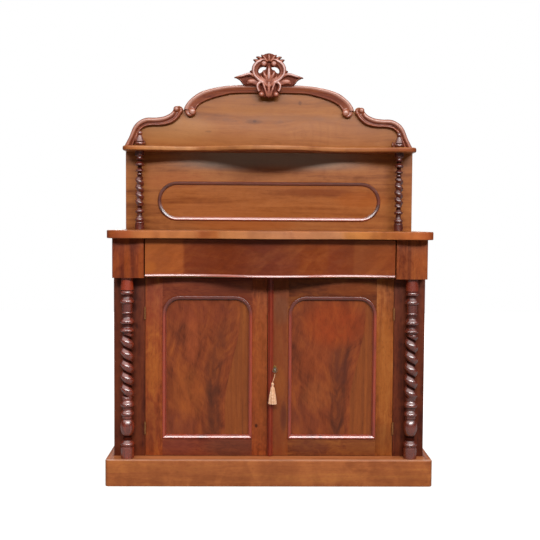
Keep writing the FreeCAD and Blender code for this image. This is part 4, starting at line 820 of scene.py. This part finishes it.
class Relief:
    """A carved field of heights in millimetres. With a middle, both halves are alike."""

    def __init__(self, x0, x1, z0, z1, step, middle=None):
        self.x, self.z = np.meshgrid(np.arange(x0, x1 + step, step), np.arange(z0, z1 + step, step))
        self.across = self.x if middle is None else np.abs(self.x - middle)
        self.height = np.zeros_like(self.x)
        self.inside = np.full_like(self.x, -10.0)

    def near(self, rows):
        """The distance to a curve as a share of its radius, the radius and the height there."""
        best, radius, height = (np.full_like(self.x, start) for start in (1e9, 1.0, 0.0))
        for x, z, r, h in curve_through(rows_of(rows)):
            share = np.hypot(self.across - x, self.z - z) / max(r, 0.3)
            closer = share < best
            best[closer], radius[closer], height[closer] = share[closer], max(r, 0.3), h
        return best, radius, height

    def add(self, rows, form="round", low=8.0):
        """Raises a form along a curve of points, each with its radius and height."""
        share, radius, height = self.near(rows)
        within = np.clip(1 - share, 0, 1)
        if form == "leaf":
            rise = within ** 0.75 * (1 - 0.25 * np.exp(-(share / 0.12) ** 2))
        elif form == "flat":
            rise = np.clip(within * radius / 2.0, 0, 1)
        else:
            rise = np.sqrt(np.clip(1 - share ** (4 if form == "broad" else 2), 0, 1))
        self.height = np.maximum(self.height, np.where(share < 1, low + (height - low) * rise, 0))
        self.inside = np.maximum(self.inside, (1 - share) * radius)

    def ball(self, x, z, r, top, low=8.0, fullness=2):
        away = np.hypot(self.across - x, self.z - z)
        rise = np.sqrt(np.clip(1 - (away / r) ** fullness, 0, 1))
        self.height = np.where(away < r * 1.18, low + (top - low) * rise, self.height)
        self.inside = np.maximum(self.inside, r - away)

    def carve(self, rows):
        """Lowers the carving along a curve. The fourth number is how deep."""
        share, _, depth = self.near(rows)
        self.height = np.maximum(self.height - depth * np.clip(1 - share ** 2, 0, 1), 2.0)

    def pierce(self, hole):
        """Cuts a hole with the given corners right through."""
        inside = np.zeros_like(self.x, bool)
        edge = np.full_like(self.x, 1e9)
        points = rows_of(hole)
        for (x1, z1), (x2, z2) in zip(points, points[1:] + points[:1]):
            wide, tall = x2 - x1, z2 - z1
            off_x, off_z = self.across - x1, self.z - z1
            inside ^= ((z1 > self.z) != (z2 > self.z)) & (off_x < wide * off_z / (tall or 1e-9))
            t = np.clip((off_x * wide + off_z * tall) / (wide ** 2 + tall ** 2), 0, 1)
            edge = np.minimum(edge, np.hypot(off_x - t * wide, off_z - t * tall))
        self.inside = np.minimum(self.inside, np.where(inside, -edge, edge))

    def soften(self, times):
        for _ in range(times):
            h = np.pad(self.height, 1, mode="edge")
            self.height = (h[1:-1, 1:-1] * 4 + h[:-2, 1:-1] + h[2:, 1:-1] + h[1:-1, :-2] + h[1:-1, 2:]) / 8

    def mesh(self, name, back_y):
        """Front, sides and flat back. Points next to the carving move to its edge."""
        kept = self.inside > 0
        height = np.maximum(self.height, 3.0)
        fields = [self.x, self.z, height]
        totals = np.zeros((3, *self.x.shape))
        count = np.zeros_like(self.x)
        for move in ((0, 1), (0, -1), (1, 0), (-1, 0), (1, 1), (-1, -1), (1, -1), (-1, 1)):
            source = np.roll(kept, move, (0, 1)) & ~kept
            within = np.roll(self.inside, move, (0, 1))
            share = np.clip(within / (within - self.inside + 1e-9), 0.05, 1)
            for total, field, part in zip(totals, fields, (share, share, 0)):
                total += source * (np.roll(field, move, (0, 1)) * (1 - part) + field * part)
            count += source
        rim = count > 0
        x, z, height = np.where(rim, totals / np.maximum(count, 1), fields)
        used = kept | rim
        index = np.cumsum(used).reshape(used.shape) - 1
        points = list(zip(x[used], back_y - height[used], z[used]))
        front = np.stack(corners(index), -1)[np.any(corners(kept), axis=0)].tolist()
        ahead = len(points)
        points += [(px, back_y, pz) for px, _, pz in points]
        edges = {edge for face in front for edge in zip(face, face[1:] + face[:1])}
        sides = [(b, a, a + ahead, b + ahead) for a, b in sorted(edges) if (b, a) not in edges]
        back = [[v + ahead for v in reversed(face)] for face in front]
        return mesh_of(name, points, front + sides + back, 62)


def make_crest(material):
    """Two hollowed C-scrolls with a palmette between them, wings and hanging scrolls."""
    r = Relief(-137, 127, 1399, 1573, 0.9, -5)
    r.add("0 1448 24 6, 0 1475 40 6, 0 1500 46 6, 0 1530 40 6, 0 1541 24 6", "flat", 4)
    # leaves that spring from the top of the scrolls
    r.add("0 1543 7 19, 0 1552 8 20, 0 1561 6 19, 0 1568.7 1.8 15", "leaf", 6)
    r.add("10 1544 6 18, 16 1552 6.5 18, 22 1558.5 5.5 17, 28 1563.5 1.8 14", "leaf", 6)
    r.add("26 1545 6 18, 34 1551 6 18, 40 1554 5 16, 47 1556 1.8 13", "leaf", 6)
    r.add("41 1541 6 17, 50 1543 5.5 17, 58 1545.5 1.8 13", "leaf", 6)
    r.add("55 1501 8 16, 64 1501 6 15, 71 1503 1.8 12", "leaf", 6)
    # wings: a long upper lip over a sunk field with a round lobe
    r.add("54 1466 18 8, 72 1467 18 8, 88 1465 15 8, 100 1474 9 8", "flat", 4)
    r.add("58 1480 7 8, 84 1482 7 8, 106 1478 5 8", "flat", 4)
    r.add("58 1484 5 16, 70 1491 5.5 20.5, 84 1489.5 5.5 21, 98 1485 5 20.5, 112 1481 4.5 19, "
          "129 1478.5 1.8 13", "broad")
    r.add("121 1477 2 13, 110 1472 3 14, 102 1464 3 14, 95 1454 2.5 13")
    r.add("47 1458 9 14, 60 1463 10 17, 73 1463 9 17, 80 1458 6 14", "broad")
    # the palmette
    r.add("8 1459 4.5 13, 19 1470 6 17, 27 1478 5 17, 31 1487 1.6 14", "round", 5)
    r.add("6 1463 5 14, 13 1482 7 19, 19 1495 6 19, 21 1508 1.6 14", "round", 5)
    r.add("0 1458 6 15, 0 1480 8.5 21, 0 1500 8.5 21.5, 0 1514 5 20, 0 1526 1.6 14", "round", 5)
    # the C-scrolls: broad ribbons with a hollow along the inner side
    r.add("6 1447 4 15, 15 1455 6.5 18, 28 1465 8.5 21, 40 1476 9.5 22, 50 1489 10.5 22, "
          "53.5 1503 11.5 22, 51 1517 12.5 22, 43 1529 12 22, 32 1538 9.5 21.5, 20 1542 7 21, "
          "9 1540 4.5 18", "broad")
    r.carve("24 1467 4 2, 36 1478.5 5.5 6, 45.5 1491 7 9, 48.5 1503 8 10, 46 1515 8.5 10, 39 1525 8 9, "
            "30 1533 5 6, 21 1537.5 3 3")
    r.ball(19, 1531, 10.5, 19, 10, 5)
    # hanging scrolls and the stem
    r.add("20 1448 12 7, 20 1432 13 7, 14 1415 9 7", "flat", 4)
    r.add("24 1461 5 18, 34 1459 7 20.5, 40 1450 8 21.5, 39 1438 8 21.5, 34 1427 7 20.5, "
          "29 1420 6 18", "broad")
    r.carve("30 1454 4 5, 35 1448 5.5 9, 34 1438 6 9, 30 1430 4.5 6")
    r.add("23 1459 5 19, 18 1446 5 20, 13 1432 5 19.5, 9 1418 4.5 17, 6 1408 3 14")
    r.ball(27.5, 1416.5, 10.5, 19.5, 8)
    r.add("0 1458 7 17, 0 1440 7 18, 0 1420 6 17, 0 1403 2 12")
    r.pierce("9 1518, 13 1510, 21 1506, 28 1498.5, 36 1495, 40 1501, 38 1510, 32 1517, 22 1520")
    r.soften(5)
    mesh = r.mesh("carved_crest", CREST_BACK)
    add_piece("carved_crest", mesh, "carcase", "dark_mahogany", material, ["crest"])


def make_scrolls(material):
    """The S-shaped rails, carved with two ridges that part towards the foot."""
    for side, label in SIDES:
        r = Relief(312, 558, 1206, 1380, 1.05)
        # ground between the ridges
        r.add("340 1356 13 10, 352 1336 14 10, 372 1320 13.5 10, 408 1313 14 10, 440 1312 14 10, "
              "472 1307 14.5 9, 492 1293 14 8, 508 1264 14 8, 522 1236 14.5 8, 533 1217 14 8", "flat", 5)
        r.add("354 1358 6 17, 360 1346 7.5 18.5, 372 1334.5 8.5 19.5, 398 1323 9 20, 428 1318.8 9 20, "
              "457 1318.4 9 20, 475 1313.6 9 20, 491.5 1303 9 20, 502.5 1291 9 19.5, 509.5 1279 8.5 19, "
              "520.8 1252 8 19, 529 1235.5 8 18.5, 536.5 1220 8 18, 539 1215 8 18", low=9)
        r.add("330 1360 4 15, 334 1350 5.5 16, 343 1335 5.5 16, 357 1321 5 16, 375 1310 4.5 15.5, "
              "408 1302.5 4 15, 440 1302 4 14, 468 1297 4 14, 486 1285 4 14, 499 1266 4 14, "
              "511 1240 4 14, 520 1216 4 14", low=8)
        # the ball at the head
        r.add("331 1350 5 15, 332 1360 5 15, 340 1363 5 15", low=8)
        r.ball(349.5, 1360.5, 11, 20, 9)
        # the curl at the foot, behind the finial
        r.add("489 1285 4 13, 500 1262 5 14, 501 1240 5.5 15, 492 1225 5.5 15, 478 1222 5 14, "
              "471 1230 4 14, 474 1239 4 13", low=7)
        r.ball(481, 1234, 6.5, 15, 7)
        r.inside = np.minimum(r.inside, r.z - 1216.2)
        r.soften(4)
        mesh = r.mesh(f"carved_scroll_{label}", RAIL_BACK)
        for vertex in mesh.vertices:
            vertex.co.x = side * vertex.co.x - 0.003 + side * 0.003
        if side < 0:
            mesh.flip_normals()
        add_piece(f"carved_scroll_{label}", mesh, "carcase", "dark_mahogany", material, [f"scroll_{label}"])


# ---- key and tassel

CORD_POINTS = [(0.0195, -0.1105, 0.3953), (0.0180, -0.1105, 0.3880),
               (0.0145, -0.1105, 0.3770), (0.0110, -0.1105, 0.3651)]
KEY_X, KEY_Y, KEY_Z = 19.5, -110.5, 409
TASSEL_X = 11


def make_cord(material):
    """The tassel's cord, from the key's bow to the knotted head."""
    data = bpy.data.curves.new("tassel_cord_line", "CURVE")
    data.dimensions = "3D"
    spline = data.splines.new("NURBS")
    spline.points.add(len(CORD_POINTS) - 1)
    for point, place in zip(spline.points, CORD_POINTS):
        point.co = (*place, 1)
    spline.order_u = 3
    spline.use_endpoint_u = True
    data.bevel_depth = 0.001
    data.bevel_resolution = 3
    data.materials.append(material)
    piece = place_object("tassel_cord_line", data)
    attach(piece, "tassel")
    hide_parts("tassel_cord")
    return piece


def make_tassel(material):
    """A wound head and a skirt of fine strands."""
    rows = [(365.6, 0.6), (365.0, 1.6), (364.0, 3.0)]
    rows += [(359.8 - 3.6 * t, 1.4 + 3.3 * math.sqrt(1 - t * t)) for t in np.linspace(-1, 1, 9)]
    rows += [(355.6 - i * 1.1, 3.3 + (0.35 if i % 2 else 0.0) + i * 0.04) for i in range(9)]
    rows += [(346.0, 4.6), (344.0, 6.2)]
    silken = {"body": "tassel", "slot": "tassel_silk"}
    head = add_shape("wound_tassel_head", tube([ring(TASSEL_X, KEY_Y, z, r, 28) for z, r in rows]), 50,
                     material, "tassel_head", **silken)
    strands = []
    top, neck, foot = 348.0, 5.6, 14.3
    rng = np.random.default_rng(7)
    for layer, count, inner in ((0, 46, 1.0), (1, 34, 0.8), (2, 20, 0.5)):
        for k in range(count):
            start = FULL_TURN * (k + 0.5 * layer) / count + rng.normal(0, 0.03)
            sway = rng.normal(0, 0.05)
            end = 288.6 + abs(rng.normal(0, 0.5)) + 0.6 * layer
            wide = 0.62 + rng.uniform(0, 0.14)
            rows = []
            for t in np.linspace(0, 1, 9):
                flare = (1 - (1 - t) ** 1.5) * 0.35 + 0.65 * t
                radius = inner * (neck + (foot - neck) * flare) + 0.35 * math.sin(3 * t + k)
                x, y = radius * math.cos(start + sway * t), radius * math.sin(start + sway * t)
                rows.append(ring(TASSEL_X + x, KEY_Y + y, top + (end - top) * t, wide * (0.85 + 0.45 * t), 5))
            strands.append(tube(rows))
    add_shape("tassel_strands", join_shapes(strands), 60, material, "tassel_skirt", **silken)
    return head


def make_key(material):
    """Two collars and a rim that finish the key's plain shank and bow."""
    section = [(8.3 + 0.75 * math.cos(b), math.sin(b)) for b in np.linspace(0, FULL_TURN, 10, endpoint=False)]
    rim = [point for r, y in section for point in ring(KEY_X, KEY_Y + y, KEY_Z, r, 40, True)]
    collars = rows_of("-101 2.1, -100.6 3.2, -99.6 3.6, -98.6 3.2, -98.2 2.4, -97.6 2.4, -97.2 3, -96.2 3.3, "
                      "-95.2 3, -94.8 2.1")
    shank = tube([ring(KEY_X, y, KEY_Z, r, 24, True) for y, r in collars])
    both = join_shapes([(rim, grid_faces(10, 40, True)), shank])
    add_shape("key_collars", both, 40, material, body="key", slot="steel")


# ---- assembly

def make_soft_goods():
    """The cord comes before anything else, with its tassel."""
    peach = silk()
    cord = make_cord(peach)
    head = make_tassel(peach)
    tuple(CORD_POINTS[0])


def make_carving():
    """Everything turned, moulded or carved."""
    post = turned_wood("turned", "40120a 66210f 7e2c16", 1.0, (0.504, -0.1065),
                       (0.0135, 0.0185), (0.690, "8c3014"))
    small_post = turned_wood("small_turned", "360f08 561c10 6e2a18", 2.0, (0.4895, 0.1385),
                             (0.0065, 0.0112), gloss=0.27, ior=1.55)
    finial = turned_wood("finial", "4a1a10 6e2f1e 84402a", 3.0, (0.489, 0.1385), (0.0004, 0.0006))
    make_columns(post, small_post, finial)
    # the bead's patch darkens its arched top run, which faces down: painted shade
    bead = wood("bead", "541406 862a0e 9e3914", "z", 2.5, 0.2, 0.29, level=1.0, lift=0.000004,
                ior=1.57, patches="0.0 0.660 2.0 0.052 581c0c 0.75")
    # the oval's patch pales its bottom run, which faces up: a painted highlight
    oval = wood("oval_bead", "360f08 56200f 702e18", "x", 2.7, 0.2, 0.30, level=1.0,
                lift=0.000004, ior=1.58, patches="0.0 0.940 0.60 0.014 a04e3a 0.95")
    make_mouldings(bead, oval)
    make_astragal(wood("astragal", "4a1409 742510 882f17", "z", 2.9, 0.2, 0.34, level=0.4,
                       lift=0.00002))
    make_lip(wood("lip", "702a18 903c26 a24a32", "x", 3.6, 0.3, 0.31, level=1.0,
                  lift=0.000004, ior=1.64))
    # carved_wood's third colour is painted shade for the hollows, and its last a painted highlight for the
    # rims
    dark = carved_wood("carved", "66281a 8a4429 9e5736", "3c130a", 0.170, 0.185, 0.1672, "a87462")
    make_arch(dark)
    make_scrolls(dark)
    make_crest(carved_wood("crest", "7a3c2e 9c563f ae684c", "4e1c10", 0.1485, 0.158,
                           0.1455, "c49a92", 0.42))


# boards of plain wood: the nodes, the width of their eased edges, then what wood() takes
BOARDS = (
    ("left_door_stiles", 0.6, "left_stile", "5c250d 803919 955020", "z", 1.0, 0.7, {"patches": (
        "-0.415 0.40 0.03 0.07 95501d 0.45, -0.415 0.64 0.04 0.09 75301e 0.5, "
        "-0.42 0.20 0.03 0.09 682e18 0.4, -0.03 0.42 0.03 0.26 84421a 0.5, "
        "-0.046 0.203 0.005 0.007 290e06 0.85")}),
    ("right_door_stiles", 0.6, "right_stile", "612d0f 834218 975927", "z", 2.2, 0.6, {"patches": (
        "0.035 0.40 0.04 0.5 6b311a 0.75, 0.052 0.235 0.012 0.05 471e18 0.6, "
        "0.04 0.36 0.018 0.05 83451b 0.5, 0.04 0.62 0.03 0.05 613924 0.5, "
        "0.412 0.43 0.03 0.17 945521 0.5, 0.41 0.15 0.04 0.06 6a3918 0.5")}),
    ("left_door_rails", 0.4, "left_rail", "4b1b0f 682c1a 7e3c20", "x", 3.1, 0.6, {"patches": (
        "-0.14 0.125 0.09 0.035 4d2b1d 0.5, -0.33 0.125 0.06 0.03 682e21 0.5, "
        "-0.2 0.69 0.1 0.03 5a2719 0.4")}),
    ("right_door_rails", 0.4, "right_rail", "4c200f 683217 80481e", "x", 4.3, 0.6, {"patches": (
        "0.34 0.125 0.06 0.025 723e1c 0.5, 0.15 0.125 0.06 0.03 582b1c 0.5, "
        "0.3 0.70 0.1 0.03 753510 0.5")}),
    ("stile_left stile_right", 0.8, "post", "381107 56220f 682e15", "z", 5.0, 0.5, {"gloss": 0.4}),
    ("side_left side_right", 0.8, "side", "5f2b0f 7d401a 935123", "z", 6.0, 0.35, {"broad": 10}),
    ("block_left", 1.0, "left_block", "5a210d 763215 90451b", "z", 7.0, {"patches": (
        "-0.50 0.80 0.010 0.1 974819 0.45, -0.452 0.80 0.008 0.1 904519 0.45, "
        "-0.478 0.80 0.008 0.1 4c190a 0.5")}),
    ("block_right", 1.0, "right_block", "60270f 813e1b 945023", "z", 8.0, {"patches": (
        "0.487 0.80 0.007 0.1 501e0d 0.55, 0.53 0.79 0.02 0.05 91481e 0.4")}),
    ("plinth_sides", 2.0, "plinth_side", "682e15 8c4923 a05b2c", "y", 9.5, 0.5, {
        "gloss": 0.5, "broad": 40, "level": 0.1, "lift": 0.00005}),
)


def dress_panels():
    left = door_panel("left_flame", 0.0, 1.0, (
        "-0.278 0.53 0.022 0.10 9a4a26 0.45, -0.29 0.32 0.06 0.09 934d1e 0.4, "
        "-0.25 0.61 0.12 0.04 712f1b 0.5, -0.33 0.2 0.06 0.05 6a311f 0.5"))
    right = door_panel("right_flame", 0.449, 2.0, (
        "0.23 0.57 0.10 0.08 8b340d 0.65, 0.255 0.42 0.035 0.07 4e2319 0.5, "
        "0.16 0.44 0.05 0.05 863c19 0.4, 0.13 0.22 0.05 0.06 652f1d 0.5, "
        "0.17 0.31 0.05 0.05 8b4c25 0.35"))
    soften("left_panel", 0.0, left, "flame_mahogany")
    soften("right_panel", 0.0, right, "flame_mahogany")


def dress_fronts():
    """The boards along the front, whose leaves of veneer differ in tone."""
    # the plinth's level faces take a paler colour: a painted highlight
    soften("plinth_front", 2.0, veneered("plinth", (
        "-0.6 925029, -0.2 94552d, 0.2 94552d, 0.6 945429"),
        "6a3218 8c4d28 a0622f", 9.0, 0.45, 0.5, low="b27c5e"))
    soften("top_board", 1.0, veneered("top", (
        "-0.56 83381a, -0.49 914421, -0.47 aa6334, -0.27 ad6b3d, -0.24 8c4722, "
        "-0.19 965228, -0.17 b07144, 0.05 b27752, 0.07 a96e4b, 0.24 b17750, "
        "0.27 b6753a, 0.33 b16e36, 0.36 9e5d2a, 0.50 a45527, 0.57 94401d"),
        "743c1e 9a582b b1713d", 3.0, 0.8, 0.4))
    soften("drawer_front", 0.0, veneered("drawer_flame", (
        "-0.44 985121, -0.310 91491d, -0.302 692a0e, -0.15 67290e, -0.02 5d2514, "
        "0.08 692d14, 0.12 763511, 0.20 753411, 0.21 6e2d11, 0.292 713210, "
        "0.298 7f411c, 0.44 7d3a17"),
        "4f1b07 753110 8e491b", 5.0, 0.75, 0.6, "-0.42 0.775 0.02 0.02 99521b 0.5", -1.0),
        "flame_mahogany")
    soften("gallery_shelf", 0.8, veneered("shelf", (
        "-0.55 854222, -0.50 aa6735, -0.44 b9804f, -0.30 bb8456, -0.26 905931, "
        "-0.10 9f683d, 0.02 ac734a, 0.20 a46b40, 0.34 8e532d, 0.42 94562d, "
        "0.50 803b1d, 0.56 74341a"),
        "743e22 9a5d31 b07744", 4.0, 0.8, 0.4))
    soften("upper_back", 0.8, upper_back_wood())
    soften("pediment_panel", 0.8, pediment_wood())


def dress_rest():
    """The inside, the back and the metal, most of which keep their CAD shapes."""
    dress(floor_wood(), "bottom_board")
    dress(pine_wood(), "back_boards", "cupboard_shelf", "drawer_back", "drawer_bottom", "drawer_rail",
          "drawer_runners", "drawer_sides", "glue_blocks", "plinth_back", "shelf_bearers")
    steel = metal("worn_steel", "b8b4aa", "6e675c", 0.28)
    soften("escutcheon", 0.3, metal("old_brass", "a8854a", "5e4526", 0.32), "brass")
    dress(metal("tarnished_brass", "a07048", "7a4e30", 0.55), "left_hinge_leaves", "right_hinge_leaves",
          "fixed_leaves", "hinge_pins", "left_bolt_plates")
    dress(steel, "lock_case", "lock_bolt", "key", "upper_bolt", "lower_bolt")
    make_key(steel)


make_camera()
make_lamp("key", (1.5, -8.0, 5.7), (0, 0, 0.8), (11.0, 1.5), 1045)
make_lamp("back", (0.0, 6.0, 3.2), (0, 0, 0.7), (3.0, 1.5), 190)
make_world()
make_floor()
scene.view_settings.view_transform = "Standard"
make_soft_goods()
make_carving()
for board_nodes, edge, *timber, more in BOARDS:
    board_wood = wood(*timber, **more)
    for board_node in board_nodes.split():
        soften(board_node, edge, board_wood)
dress_panels()
dress_fronts()
dress_rest()
